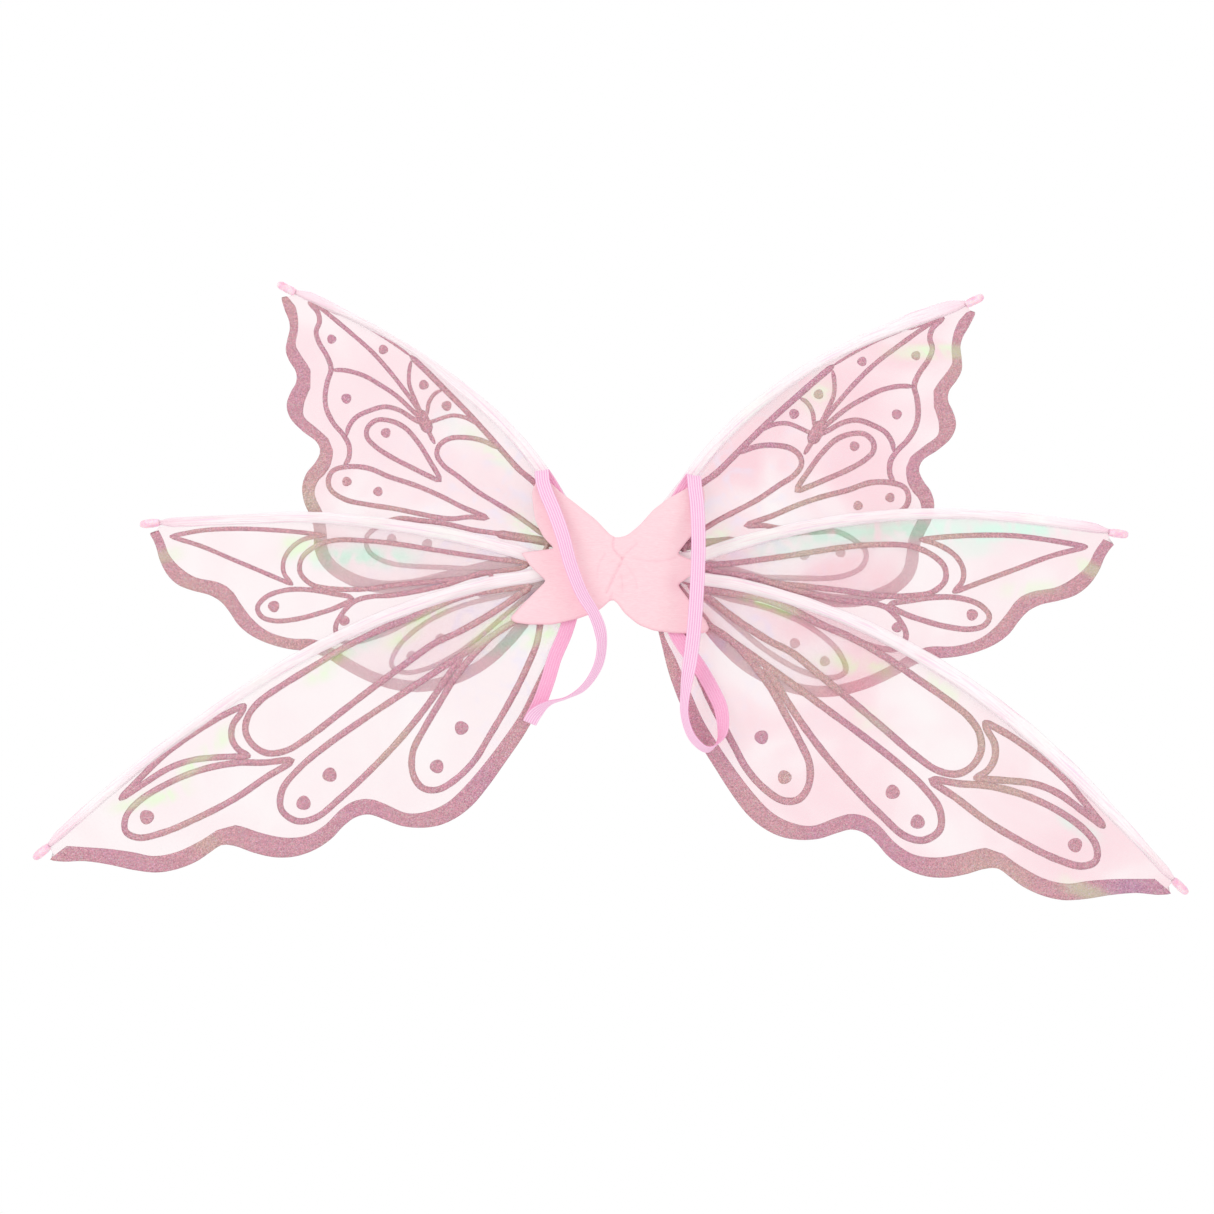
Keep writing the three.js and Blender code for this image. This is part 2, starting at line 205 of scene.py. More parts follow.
def brushed_cloth():
    """Thin peach-skin cloth: fine sideways nap, with painted shade at its rim, in its creases and in a notch.
    """
    f = Finish("brushed_pink_cloth", (0.95, 0.62, 0.68), 0.92, Sheen_Weight=0.25, Sheen_Roughness=0.5,
               Sheen_Tint=(1, 0.86, 0.9, 1), Specular_IOR_Level=0.2)
    here = f.place()
    nap = f.cloud(f.stretched(here, (260, 600, 2600)), detail=3.0, Roughness=0.65)
    weave = f.cloud(f.stretched(here, (1500, 1500, 3200)), detail=1.0)
    base = f.ramp(nap, (0.26, (0.96, 0.63, 0.685)), (0.52, (1.0, 0.70, 0.75)), (0.78, (1.0, 0.765, 0.80)))
    base = f.mix(f.spread(f.cloud(here, 38.0), 0.35, 0.7, 0.0, 0.3), base, (1.0, 0.66, 0.73))
    # painted shade: the cloth darkened at its rim, in its creases and in the right side notch
    base = f.mix(f.attribute("painted_shade"), base, (0.90, 0.42, 0.53))
    f.colour(base)
    f.rough(f.spread(nap, 0.3, 0.7, 0.98, 0.82))
    f.bump(f.sum("ADD", nap, f.times(weave, 0.6)), 0.0003, 0.4)
    return f.material


def elastic():
    """Ribbed woven elastic; the map runs along the strap in millimetres, and across it from 0 to 1."""
    f = Finish("ribbed_pink_elastic", (0.93, 0.5, 0.76), 0.72, Sheen_Weight=0.2, Sheen_Roughness=0.4,
               Specular_IOR_Level=0.3)
    parts = f.node("SeparateXYZ", {"Vector": f.map("weave")})
    along, across = parts.outputs[0], parts.outputs[1]
    rib = f.sum("MULTIPLY_ADD", f.sum("COSINE", f.times(across, 2 * math.pi * CORDS)), 0.5, 0.5)
    pick = f.sum("MULTIPLY_ADD", f.sum("SINE", f.times(along, 2 * math.pi / PICK)), 0.5, 0.5)
    fuzz = f.cloud(f.place(), 900.0)
    # painted shade: the grooves between the cords darker, the cords lighter
    base = f.mix(f.spread(rib, 0.15, 0.95), (0.98, 0.70, 0.86), (0.90, 0.42, 0.69))
    base = f.mix(f.times(pick, 0.10), base, (1.0, 0.74, 0.9))
    base = f.mix(f.times(f.attribute("inner"), 0.6), base, (0.96, 0.38, 0.60))
    base = f.mix(f.spread(fuzz, 0.35, 0.7, 0.0, 0.18), base, (0.98, 0.72, 0.88))
    f.colour(base)
    f.bump(f.sum("ADD", f.times(pick, 0.5), fuzz), 0.0002, 0.5)
    return f.material


def film():
    """Clear pink film, crinkled towards the hub, with painted mint and lime reflections where it catches the
    light.
    """
    f = Finish("iridescent_film", (0.97, 0.55, 0.63), 0.16, Alpha=0.27, Coat_Weight=0.35, Coat_Roughness=0.12,
               Thin_Film_Thickness=380.0, Thin_Film_IOR=1.45, IOR=1.5)
    polar = f.map("fan")
    rays = f.cloud(f.stretched(polar, (70, 2.2, 1)), detail=3.0, Roughness=0.55, Distortion=0.4)
    crinkle = f.cloud(f.stretched(f.place(), (20, 20, 30)), Distortion=0.8)
    streak = f.cloud(f.stretched(polar, (22, 7, 1)), detail=2.5, Distortion=1.2)
    wash = f.cloud(f.place(), 15.0, Distortion=0.7)
    base = f.ramp(wash, (0.30, (0.95, 0.33, 0.47)), (0.47, (0.97, 0.47, 0.58)), (0.60, (0.98, 0.68, 0.75)),
                  (0.74, (0.97, 0.83, 0.86)))
    base = f.mix(f.spread(f.attribute("blush"), 0.0, 1.0, 0.85, 0.0), base, (0.97, 0.86, 0.88))
    # painted sheen: lilac streaks along the pleats near the hub
    painted_pleat_sheen = f.times(f.spread(streak, 0.52, 0.7), f.attribute("pleat"))
    base = f.mix(f.times(painted_pleat_sheen, 0.55), base, (0.72, 0.62, 0.95))
    # painted reflections: mint and lime streaks where the film catches the light
    gate = f.spread(streak, 0.34, 0.52)
    base = f.mix(f.times(f.attribute("mint_reflection"), gate, clamp=True), base, (0.44, 0.92, 0.69))
    base = f.mix(f.times(f.attribute("lime_reflection"), gate, clamp=True), base, (0.66, 0.95, 0.38))
    f.colour(base)
    f.bump(f.sum("ADD", f.times(rays, f.attribute("pleat")), f.times(crinkle, 0.8)), 0.004, 0.5)
    return f.material


def glitter():
    """Fine rose glitter whose flecks turn from plum to tan and green over a hand's width."""
    f = Finish("rose_glitter", (0.6, 0.36, 0.42), 0.42, Metallic=0.15, Specular_IOR_Level=0.6)
    here = f.place()
    fleck = f.node("TexVoronoi", {"Vector": here, "Scale": 2100.0})
    chance = f.node("SeparateColor", {"Color": fleck.outputs["Color"]})
    drift = f.cloud(here, 13.0, 1.5, Distortion=0.5)
    base = f.ramp(drift, (0.22, (0.55, 0.27, 0.40)), (0.33, (0.60, 0.27, 0.355)), (0.56, (0.625, 0.31, 0.35)),
                  (0.68, (0.62, 0.38, 0.35)), (0.82, (0.57, 0.50, 0.39)))
    # fleck tones: partly the flecks' own colours, partly painted glints that lighten some flecks
    fleck_tone_and_glint = f.ramp(chance.outputs[0], (0.0, (0.68, 0.66, 0.70)), (0.45, (0.97, 0.95, 0.97)),
                  (0.8, (1.18, 1.16, 1.17)), (1.0, (1.5, 1.46, 1.47)))
    base = f.mix(1.0, base, fleck_tone_and_glint, "MULTIPLY")
    # painted reflection: the film's lime reflection carried across the glitter
    base = f.mix(f.times(f.attribute("lime_reflection"), 0.75, clamp=True), base, (0.62, 0.66, 0.42))
    # green and violet flecks: partly fleck colour, partly painted glints
    base = f.mix(f.spread(chance.outputs[1], 0.82, 0.88, 0.0, 0.4), base, (0.66, 0.82, 0.66))
    base = f.mix(f.spread(chance.outputs[2], 0.86, 0.92, 0.0, 0.4), base, (0.78, 0.58, 0.86))
    f.colour(base)
    f.rough(f.spread(chance.outputs[1], 0.0, 1.0, 0.25, 0.6))
    f.bump(chance.outputs[2], 0.00025, 0.8)
    return f.material


def sleeve_film():
    """The same film doubled over the wire: whiter, partly from a faint painted glow, creased lengthwise with
    painted highlights, with a welded line by the wing.
    """
    # painted glow: a faint pink-white emission that lightens the sleeve
    f = Finish("folded_film_sleeve", (0.99, 0.84, 0.90), 0.3, Alpha=0.76, Coat_Weight=0.25,
               Coat_Roughness=0.15, Thin_Film_Thickness=420.0, Thin_Film_IOR=1.4,
               Emission_Color=(1.0, 0.84, 0.90, 1), Emission_Strength=0.1)
    run = f.map("run")
    across = f.node("SeparateXYZ", {"Vector": run}).outputs[1]
    crease = f.cloud(f.stretched(run, (0.022, 7.0, 1)), detail=3.0, Distortion=0.5)
    painted_mint_glint = f.cloud(f.place(), 22.0, 1.0)
    # crease streaks: lavender and pink lines, with painted white highlights between them
    base = f.ramp(crease, (0.26, (0.90, 0.67, 0.92)), (0.37, (0.99, 0.78, 0.86)), (0.48, (1.0, 0.95, 0.97)),
                  (0.60, (0.99, 0.88, 0.92)), (0.71, (0.98, 0.70, 0.82)))
    # painted reflection: faint mint patches on the folded film
    base = f.mix(f.spread(painted_mint_glint, 0.56, 0.70, 0.0, 0.3), base, (0.86, 1.0, 0.90))
    weld = f.times(f.spread(across, 0.80, 0.825), f.spread(across, 0.88, 0.855))
    base = f.mix(f.times(weld, 0.9), base, (1.0, 1.0, 1.0))
    furrow = f.times(f.spread(across, 0.885, 0.90), f.spread(across, 0.945, 0.925))
    base = f.mix(f.times(furrow, 0.7), base, (0.90, 0.62, 0.78))
    base = f.mix(f.attribute("dyed"), base, (0.97, 0.50, 0.68))
    f.colour(base)
    f.bump(f.sum("SUBTRACT", crease, f.times(weld, 0.3)), 0.0012, 0.6)
    return f.material


def cap_pink():
    f = Finish("soft_pink_cap", (0.97, 0.60, 0.74), 0.42, Subsurface_Weight=0.15, Coat_Weight=0.15,
               Coat_Roughness=0.3)
    grain = f.cloud(f.place(), 260.0, 3.0)
    f.colour(f.ramp(grain, (0.32, (0.95, 0.50, 0.67)), (0.52, (0.98, 0.64, 0.76)), (0.72, (1.0, 0.82, 0.88))))
    f.rough(f.spread(grain, 0.3, 0.7, 0.34, 0.55))
    f.bump(grain, 0.0006, 0.5)
    return f.material


def coated_wire():
    """Steel wire under a thin pale plastic skin."""
    f = Finish("coated_wire", (0.96, 0.88, 0.91), 0.3, Coat_Weight=0.3, Coat_Roughness=0.2)
    drawn = f.cloud(f.stretched(f.place(), (120, 2500, 120)))
    f.colour(f.ramp(drawn, (0.3, (0.90, 0.80, 0.84)), (0.7, (1.0, 0.94, 0.96))))
    f.rough(f.spread(drawn, 0.3, 0.7, 0.24, 0.42))
    f.bump(drawn, 0.0001, 0.4)
    return f.material


def card():
    f = Finish("stiffener_card", (0.86, 0.82, 0.76), 0.85)
    fibre = f.cloud(f.stretched(f.place(), (900, 900, 260)), detail=4.0)
    f.colour(f.ramp(fibre, (0.3, (0.78, 0.73, 0.66)), (0.5, (0.88, 0.84, 0.78)), (0.7, (0.94, 0.91, 0.86))))
    f.bump(fibre, 0.0003, 0.5)
    return f.material


def moulded():
    f = Finish("moulded_plastic", (0.82, 0.78, 0.80), 0.4, Subsurface_Weight=0.1)
    grain = f.cloud(f.place(), 420.0)
    f.colour(f.ramp(grain, (0.3, (0.78, 0.74, 0.77)), (0.7, (0.87, 0.83, 0.85))))
    f.rough(f.spread(grain, 0.3, 0.7, 0.34, 0.5))
    f.bump(grain, 0.0002, 0.4)
    return f.material


CLOTH, ELASTIC, FILM, GLITTER, SLEEVE = brushed_cloth(), elastic(), film(), glitter(), sleeve_film()
CAP, STEEL, CARD, PLASTIC = cap_pink(), coated_wire(), card(), moulded()
floor.data.materials.append(white_floor())
NODE_FINISH = {
    "_wire": STEEL, "_stiffener_board": CARD, "_anchor_post": PLASTIC, "cover": CLOTH, "cover_centre": CLOTH,
    "_strap": ELASTIC, "_film": FILM, "_sleeve": SLEEVE, "_tip_cap": CAP,
}
for node_name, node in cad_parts.items():
    for ending, finish in NODE_FINISH.items():
        if node_name.endswith(ending):
            for held in node.material_slots:
                held.material = finish


# ---------------------------------------------------------------- curves and meshes
def spline(points, t, closed=False, even=False):
    """A point on the curve through the points; t counts points from 0."""
    n = len(points)
    i = int(math.floor(t)) if closed else max(0, min(n - 2, int(math.floor(t))))
    w = t - i
    if closed:
        a, b, c, d = (Vector(points[(i + k) % n]) for k in (-1, 0, 1, 2))
    else:
        b, c = Vector(points[i]), Vector(points[i + 1])
        a = Vector(points[i - 1]) if i > 0 else 2 * b - c
        d = Vector(points[i + 2]) if i + 2 < n else 2 * c - b
    if even:
        m, k = (c - a) * 0.5, (d - b) * 0.5
    else:
        p, q, r = (max(1e-4, (y - x).length) ** 0.5 for x, y in ((a, b), (b, c), (c, d)))
        m = ((b - a) / p - (c - a) / (p + q) + (c - b) / q) * q
        k = ((c - b) / q - (d - b) / (q + r) + (d - c) / r) * q
    return b + m * w + (3 * (c - b) - 2 * m - k) * w * w + (2 * (b - c) + m + k) * w ** 3


def curve(points, step, closed=False):
    """The smooth curve through the points, cut into even steps of about the given length."""
    n = len(points) if closed else len(points) - 1
    fine = [spline(points, i / 16, closed) for i in range(n * 16 + 1)]
    run = [0.0]
    for a, b in zip(fine, fine[1:]):
        run.append(run[-1] + (b - a).length)
    count = max(4, round(run[-1] / step))
    out, j = [], 0
    for i in range(count if closed else count + 1):
        want = run[-1] * i / count
        while j < len(run) - 2 and run[j + 1] < want:
            j += 1
        part = (want - run[j]) / max(1e-9, run[j + 1] - run[j])
        out.append(fine[j].lerp(fine[j + 1], min(1, part)))
    return out


def ease(x, low=0.0, high=1.0):
    x = max(0.0, min(1.0, (x - low) / (high - low)))
    return x * x * (3 - 2 * x)


def finished(name, mesh, body, material):
    """The bmesh as an object at the origin that rides on its body."""
    bmesh.ops.recalc_face_normals(mesh, faces=mesh.faces)
    for face in mesh.faces:
        face.smooth = True
    data = bpy.data.meshes.new(name)
    mesh.to_mesh(data)
    mesh.free()
    made = bpy.data.objects.new(name, data)
    bpy.context.scene.collection.objects.link(made)
    data.materials.append(material)
    if body:
        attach(made, body)
    return made


def skin(mesh, rows, around=False, ends=True):
    """Quads over rows of vertices; around closes each row into a ring, and ends fills the first and last."""
    m = len(rows[0])
    for a, b in zip(rows, rows[1:]):
        for j in range(m if around else m - 1):
            mesh.faces.new((a[j], b[j], b[(j + 1) % m], a[(j + 1) % m]))
    if around and ends:
        mesh.faces.new(rows[0])
        mesh.faces.new(list(reversed(rows[-1])))


# ---------------------------------------------------------------- wing shapes
# Millimetres from the wing tip: first along the wing, negative towards the hub, then across it, positive
# towards the trailing edge.
WINGS = {
    "upper": dict(
        span=306,
        layer=9.0,
        start=44,
        wire=[(-262, -21), (-242, -27), (-222, -31.5), (-198, -34.8), (-170, -36), (-140, -34.8),
            (-112, -31), (-84, -24.5), (-58, -16.6), (-34, -8.8), (-18, -4), (0, 0)],
        trail=[(-13, 4.6), (-10.5, 5.4), (-20, 10.4), (-29, 14), (-34, 18), (-38, 24.5), (-43, 31),
            (-50, 34.5), (-59, 37), (-64, 42), (-66, 50), (-70, 58.5), (-78, 63.5), (-91, 64.5),
            (-104, 63.5), (-110, 67), (-112.5, 75), (-113, 84), (-117, 93), (-125, 100), (-136, 105),
            (-144, 110), (-151, 117.5), (-160, 123.2), (-171, 125), (-184, 123.2), (-199, 117.5),
            (-213, 108), (-227, 93), (-241, 72.5), (-255, 52), (-268, 34), (-280, 19), (-290, 8)],
        border=[(-11.5, 3), (-18, 1.5), (-26, 4.2), (-33.5, 9), (-39.5, 15), (-45.5, 23.2), (-52.5, 25.8),
            (-63.5, 28.6), (-72, 33), (-75.5, 42.5), (-79, 50.5), (-84.5, 56.2), (-98, 56.2), (-112, 57.2),
            (-120, 65.4), (-123, 74), (-123, 83.5), (-127, 91)],
        band=9.0,
    ),
    "middle": dict(
        span=341,
        layer=7.0,
        start=35,
        wire=[(-300, -6), (-280, -10.8), (-258, -15), (-232, -18.8), (-204, -21.6), (-172, -23),
            (-140, -22.4), (-110, -19.8), (-80, -15.4), (-52, -10.4), (-26, -5.2), (0, 0)],
        trail=[(-13, 4.9), (-9.5, 5.6), (-13, 9.5), (-17, 15), (-21, 23), (-29, 33), (-39, 39.5),
            (-51, 42.5), (-64, 44.5), (-73, 48.5), (-80, 55), (-87, 63), (-97, 69.5), (-110, 74),
            (-125, 76.5), (-140, 77), (-154, 80), (-168, 86.5), (-188, 94), (-210, 98), (-232, 96.5),
            (-256, 87.5), (-275, 75), (-291, 58), (-305, 38), (-318, 20), (-326, 8)],
        border=[(-16, 1), (-23, 9.5), (-29, 19), (-39, 27), (-52, 33), (-69, 35), (-79, 39), (-88, 49),
            (-97, 58), (-109, 65.5), (-126, 69), (-145, 68.3)],
        band=8.0,
    ),
    "lower": dict(
        span=443,
        layer=5.0,
        start=35,
        wire=[(-402, -15), (-382, -22), (-358, -28), (-326, -34.2), (-288, -39), (-248, -40.6),
            (-206, -39.4), (-164, -35), (-122, -27.8), (-82, -19.4), (-42, -9.8), (-20, -4.4), (0, 0)],
        trail=[(-13, 4.9), (-9, 5.8), (-16, 11.2), (-30, 18), (-45, 28.5), (-59, 40), (-72, 48.5),
            (-86, 53), (-101, 54.5), (-113, 53.2), (-122, 52.5), (-130, 57.5), (-139, 67), (-151, 77),
            (-164, 83.2), (-179, 85.5), (-193, 84), (-205, 80), (-215, 78.6), (-224, 81), (-232, 89),
            (-240, 98), (-251, 105.5), (-264, 110.5), (-278, 111.5), (-292, 109), (-308, 102.5),
            (-328, 92.5), (-348, 82), (-368, 69), (-388, 53), (-403, 38), (-416, 24), (-424, 10)],
        border=[(-24, 3), (-34, 9), (-49, 18), (-63.5, 28), (-75, 37), (-90, 42), (-108, 43), (-122, 42),
            (-131, 41), (-140, 47), (-150, 57), (-163.5, 68), (-178, 74), (-193, 73.5), (-208, 69),
            (-219, 68), (-230, 72), (-237, 79), (-249, 93), (-263.5, 98.5), (-278, 99), (-296, 94),
            (-313.5, 87), (-331, 79), (-352, 68), (-369, 56), (-390, 41), (-408, 28)],
        band=8.0,
    ),
}
# lift of each chord at rest, its reach seen square on, how far the tip curls short, and how far the wire bows
SET = {
    ("right", "upper"): (40.1, 1, 0, 1.04), ("right", "middle"): (5.6, 1, 0, 1.05),
    ("right", "lower"): (-29.1, 1, 0, 1.1), ("left", "upper"): (41, 0.987, 8, 0.96),
    ("left", "middle"): (4.1, 0.945, 8, 0.74), ("left", "lower"): (-29.1, 0.985, 0, 0.95),
}
POST = 18.0  # from the middle of the hub to each anchor post
EYE = 3.6  # radius of the wire's eye round its post
CAP_LENGTH = 13.5
CAP_SEAT = 12.9  # how far behind the wing's tip a cap begins
# each step of a cap from its mouth to its nose, in metres, and how the section grows over it
CAP_STEPS = [(0.0016, 1.16), (0.0028, 1.04), (0.0030, 0.99), (0.0028, 0.93), (0.0018, 0.76), (0.0008, 0.5)]
SLEEVE_START = {"upper": 20.0, "middle": 19.0, "lower": 27.5}  # from the eye, where each sleeve begins

# glitter lines: width, whether the line closes on itself, and its points
LINES = {
    "upper": [
        (4.5, 0, [(-252, -18), (-236, -20), (-222, -19.5), (-207, -21), (-189, -23), (-167, -25),
            (-144, -26.2), (-127, -27), (-111, -27.3)]),
        (2.0, 0, [(-111, -27.3), (-100, -26), (-78, -22), (-56, -15.6)]),
        (3.6, 0, [(-56, -15.6), (-40, -9.6), (-30, -5)]),
        (3.8, 0, [(-30, -5), (-41, -4.4), (-47, 0), (-50, 6.7), (-57, 11), (-68, 14.4), (-76, 19),
            (-80, 27), (-86, 36), (-93, 42), (-104, 46), (-113, 47), (-122, 50), (-128, 57), (-129, 63)]),
        (3.4, 0, [(-36, -8), (-67, -9.6), (-89, -10), (-107, -8.2), (-122, -5.6), (-140, -1.6),
            (-158, 5.6)]),
        (3.6, 0, [(-166, 8.5), (-160, 6.4), (-152, 3), (-146, 1)]),
        (9.4, 0, [(-158, 5), (-152, 3), (-147, 1), (-141, -1)]),
        (3.0, 0, [(-151, 2), (-154, -2), (-157, -8), (-162, -16), (-171, -21.6), (-179, -23)]),
        (3.0, 0, [(-149, 2), (-147, -4), (-143, -11), (-142, -19), (-144, -24.4)]),
        (3.0, 0, [(-146, 0), (-134, -5.6), (-124, -11), (-118, -18), (-114, -25)]),
        (3.4, 0, [(-148, 2), (-140, 2), (-122, 2), (-109, 4), (-96, 7), (-84, 13), (-77, 19)]),
        (3.6, 0, [(-152, 3), (-144, 5.6), (-131, 8), (-122, 13), (-116, 22), (-112, 32), (-113, 41),
            (-116, 46)]),
        (3.8, 1, [(-186, 25), (-171, 19.6), (-156, 15.6), (-142, 14.4), (-131, 18), (-124, 24), (-123, 32),
            (-127, 37), (-136, 38), (-149, 36), (-164, 32), (-178, 28)]),
        (3.8, 0, [(-202, -21), (-189, -16.7), (-179, -10), (-171, -1), (-169, 7), (-172, 13), (-181, 15.6),
            (-193, 14.4), (-211, 13), (-227, 10), (-242, 7), (-253, 5.6), (-268, 4)]),
        (6.6, 0, [(-282, 0), (-266, 9.5), (-253, 18), (-241, 26)]),
        (3.8, 1, [(-229, 22), (-211, 28), (-193, 33), (-176, 39), (-158, 47), (-142, 53), (-130, 63),
            (-125.6, 71), (-128, 78), (-134, 81.5), (-146, 79.5), (-160, 71.5), (-176, 61), (-193, 51),
            (-202, 45.6), (-211, 39), (-219, 30)]),
        (3.8, 1, [(-272, 6), (-262, 13), (-245, 23), (-227, 35), (-211, 44), (-195, 55), (-182, 65),
            (-176, 78), (-175, 89), (-183, 95), (-198, 92), (-230, 68), (-267, 34), (-275, 20)]),
    ],
    "middle": [
        (3.6, 1, [(-296, 1), (-273, 0), (-245, -1.7), (-221, -3.6), (-197, -5.5), (-173, -5.5), (-152, -3),
            (-138, 3.6), (-129, 13), (-129, 22.6), (-138, 30), (-154, 31.7), (-176, 30), (-199.5, 25),
            (-226, 20), (-249.5, 15.5), (-269, 9.5), (-292, 4)]),
        (3.3, 0, [(-145, -7), (-126, -7.6), (-102, -7), (-78, -4.8), (-54, 0), (-28, 6.4)]),
        (3.3, 0, [(-28, 6.4), (-54, 11), (-78, 18), (-102, 25), (-124.5, 31.7)]),
        (3.3, 0, [(-124.5, 31.7), (-117, 24), (-116, 15.5), (-120, 7), (-128, 0), (-138, -5), (-145, -7)]),
        (3.6, 1, [(-169, 37), (-154, 35), (-135, 34), (-119, 36), (-105.5, 42), (-100, 50), (-104, 56),
            (-114, 58), (-130.5, 55), (-145, 50), (-159, 44)]),
        (3.6, 1, [(-268, 10), (-235, 22), (-199.5, 32), (-183, 34.5), (-171, 39), (-163, 48), (-159, 59.5),
            (-166, 68), (-190, 62), (-215, 48), (-245, 30), (-270, 15)]),
        (5.2, 0, [(-314, 8), (-296, 15), (-277, 21), (-262, 27)]),
        (3.6, 1, [(-308, 13), (-282, 24), (-251, 34.5), (-225, 49), (-207, 67), (-203, 81), (-213, 85),
            (-233, 79), (-258, 62), (-279, 42), (-297, 24)]),
    ],
    "lower": [
        (4.3, 1, [(-400, -9), (-381, -17.6), (-363.5, -25), (-343, -29), (-316, -31), (-293, -34),
            (-266, -34.7), (-240, -33), (-213.5, -31), (-193, -28), (-181, -22), (-174, -12), (-174, 0),
            (-180, 10), (-193, 15), (-211, 14), (-240, 9), (-269, 4), (-299, -0.6), (-322, -4), (-340, -3),
            (-366, -4), (-390, -7)]),
        (4.2, 0, [(-183, -31), (-161, -31.5), (-134, -29), (-113.5, -25), (-96, -19), (-72, -10)]),
        (4.2, 0, [(-72, -10), (-90, -12), (-113.5, -14), (-131, -11), (-152, -1.5), (-169, 7)]),
        (4.2, 0, [(-169, 7), (-163.5, -1.5), (-163, -12), (-168, -21), (-177, -26.5), (-183, -31)]),
        (4.3, 1, [(-193.5, 23), (-175, 15), (-158, 6.5), (-134, -0.6), (-108, -3.5), (-84, -1.5), (-71, 4),
            (-66, 13), (-72, 21), (-90, 26), (-116, 28), (-146, 28), (-172, 25)]),
        (4.3, 0, [(-366, 10), (-331, 13), (-308, 15), (-278, 18), (-249, 21), (-219, 25), (-196, 30),
            (-178, 38), (-171, 50), (-177, 62), (-190, 66), (-211, 62), (-234, 56), (-263.5, 46.5),
            (-287, 37), (-308, 27), (-322, 19.5), (-334, 14.5)]),
        (4.3, 1, [(-396, 12), (-366, 10), (-343, 16), (-322, 25), (-305, 35), (-287, 46), (-272, 57),
            (-265, 71), (-266.5, 82), (-275, 88), (-290, 87.6), (-308, 82), (-325, 72), (-351, 56),
            (-372, 41), (-388, 27)]),
    ],
}
# glitter dots: place and radius
DOTS = {
    "upper": [(-135, 26, 3.4), (-159, 60, 3.3), (-138, 69.6, 3.3), (-210, 63.6, 3.5), (-189, 78, 3.5),
        (-154, -18, 3.5), (-132, -18, 3.4), (-94, -17, 3.3), (-62, 3.3, 3.2), (-98, 27, 3.5)],
    "middle": [(-112, 48, 4), (-165, 53, 3.6), (-237, 59, 3.6), (-217, 73, 3.6)],
    "lower": [(-84, 11, 5), (-212.6, 44, 5), (-187, 53, 5), (-310.6, 57.6, 4.8), (-282.6, 73.5, 4.8)],
}
# where each film catches the light: place, half length, half width, strength, colour, and turn in degrees
SHINE = {
    ("right", "upper"): [(-47, 12, 26, 5, 1, "lime_reflection", -38), (-68, -3, 14, 4, 0.5, "lime_reflection", -38),
        (-134, -17, 12, 6, 0.7, "lime_reflection"), (-150, -31, 30, 4, 0.5, "mint_reflection"), (-259, 17, 18, 7, 0.9, "lime_reflection")],
    ("right", "middle"): [(-172, -15, 66, 7, 1, "mint_reflection"), (-84, -9, 46, 7, 1, "mint_reflection"),
        (-240, -6, 26, 5, 0.45, "mint_reflection"), (-110, 0, 20, 8, 0.5, "mint_reflection"), (-70, 33, 20, 5, 0.5, "lime_reflection"),
        (-24, 24, 14, 5, 0.8, "lime_reflection", -30)],
    ("right", "lower"): [(-352, -25, 20, 4, 1, "lime_reflection", 16), (-281, -19, 26, 4, 0.8, "lime_reflection", 22),
        (-250, 10, 16, 5, 0.5, "lime_reflection"), (-219, -37, 18, 3, 0.6, "lime_reflection"), (-88, -1, 16, 4, 0.7, "mint_reflection"),
        (-61, 35, 18, 6, 0.8, "lime_reflection", 8)],
    ("left", "lower"): [(-316, -24, 24, 4, 1, "lime_reflection", -6), (-248, -28, 18, 4, 1, "lime_reflection", -8),
        (-270, -30, 26, 3, 0.6, "mint_reflection", -8), (-365, 7, 24, 5, 1, "lime_reflection", -8),
        (-372, 20, 20, 4, 0.9, "mint_reflection", -8), (-140, -10, 24, 5, 1, "lime_reflection", -16),
        (-92, 1.5, 26, 4, 0.9, "lime_reflection", 14), (-394, 27, 16, 5, 1, "lime_reflection", 4)],
    ("left", "upper"): [(-259, 8, 18, 6, 0.8, "lime_reflection"), (-196, -17, 22, 4, 0.6, "lime_reflection", 0),
        (-167, -10, 14, 5, 0.3, "mint_reflection")],
    ("left", "middle"): [(-176, 7, 34, 6, 1, "mint_reflection", -6), (-128, 6, 14, 8, 0.9, "lime_reflection"),
        (-140, 13, 20, 5, 0.6, "mint_reflection"), (-20, 22, 16, 5, 0.6, "lime_reflection", -20)],
}
# how pink each wing's film is
BLUSH = {
    ("right", "upper"): 1.0, ("right", "middle"): 0.4, ("right", "lower"): 0.68, ("left", "upper"): 0.55,
    ("left", "middle"): 0.15, ("left", "lower"): 0.1,
}
# how heavily each wing was printed
PRESS = {
    ("right", "upper"): 1.0, ("right", "middle"): 1.1, ("right", "lower"): 1.18, ("left", "upper"): 0.9,
    ("left", "middle"): 0.94, ("left", "lower"): 1.05,
}
# how far each sleeve's folded film stands out past its wire, along the wing
FOLD = {
    ("right", "upper"): [(-262, 5.5), (-245, 4.2), (-228, 4.6), (-188, 5.4), (-138, 5.6), (-91, 6.2),
        (-69, 7.4), (-48, 8.7), (-30, 8.1), (-16, 7.0), (-4, 4.2)],
    ("right", "middle"): [(-300, 4.7), (-118, 5.2), (-68, 5.9), (-45, 5.9), (-23, 5.2), (-5, 3.8)],
    ("right", "lower"): [(-402, 4.7), (-300, 6.9), (-226, 8.5), (-188, 9.0), (-149, 9.3), (-111, 8.8),
        (-74, 6.6), (-39, 4.6), (-10, 3.5)],
    ("left", "upper"): [(-262, 5.5), (-228, 5.0), (-188, 4.1), (-164, 3.3), (-138, 2.2), (-91, 2.2),
        (-69, 3.1), (-48, 4.1), (-32, 4.9), (-9, 3.8)],
    ("left", "middle"): [(-300, 4.5), (-140, 4.2), (-118, 3.8), (-92, 2.4), (-68, 2.0), (-46, 2.1),
        (-26, 2.7), (-9, 2.8)],
    ("left", "lower"): [(-402, 4.7), (-226, 4.1), (-188, 3.5), (-149, 3.5), (-111, 4.8), (-74, 5.5),
        (-39, 5.2), (-19, 4.6), (-5, 3.4)],
}


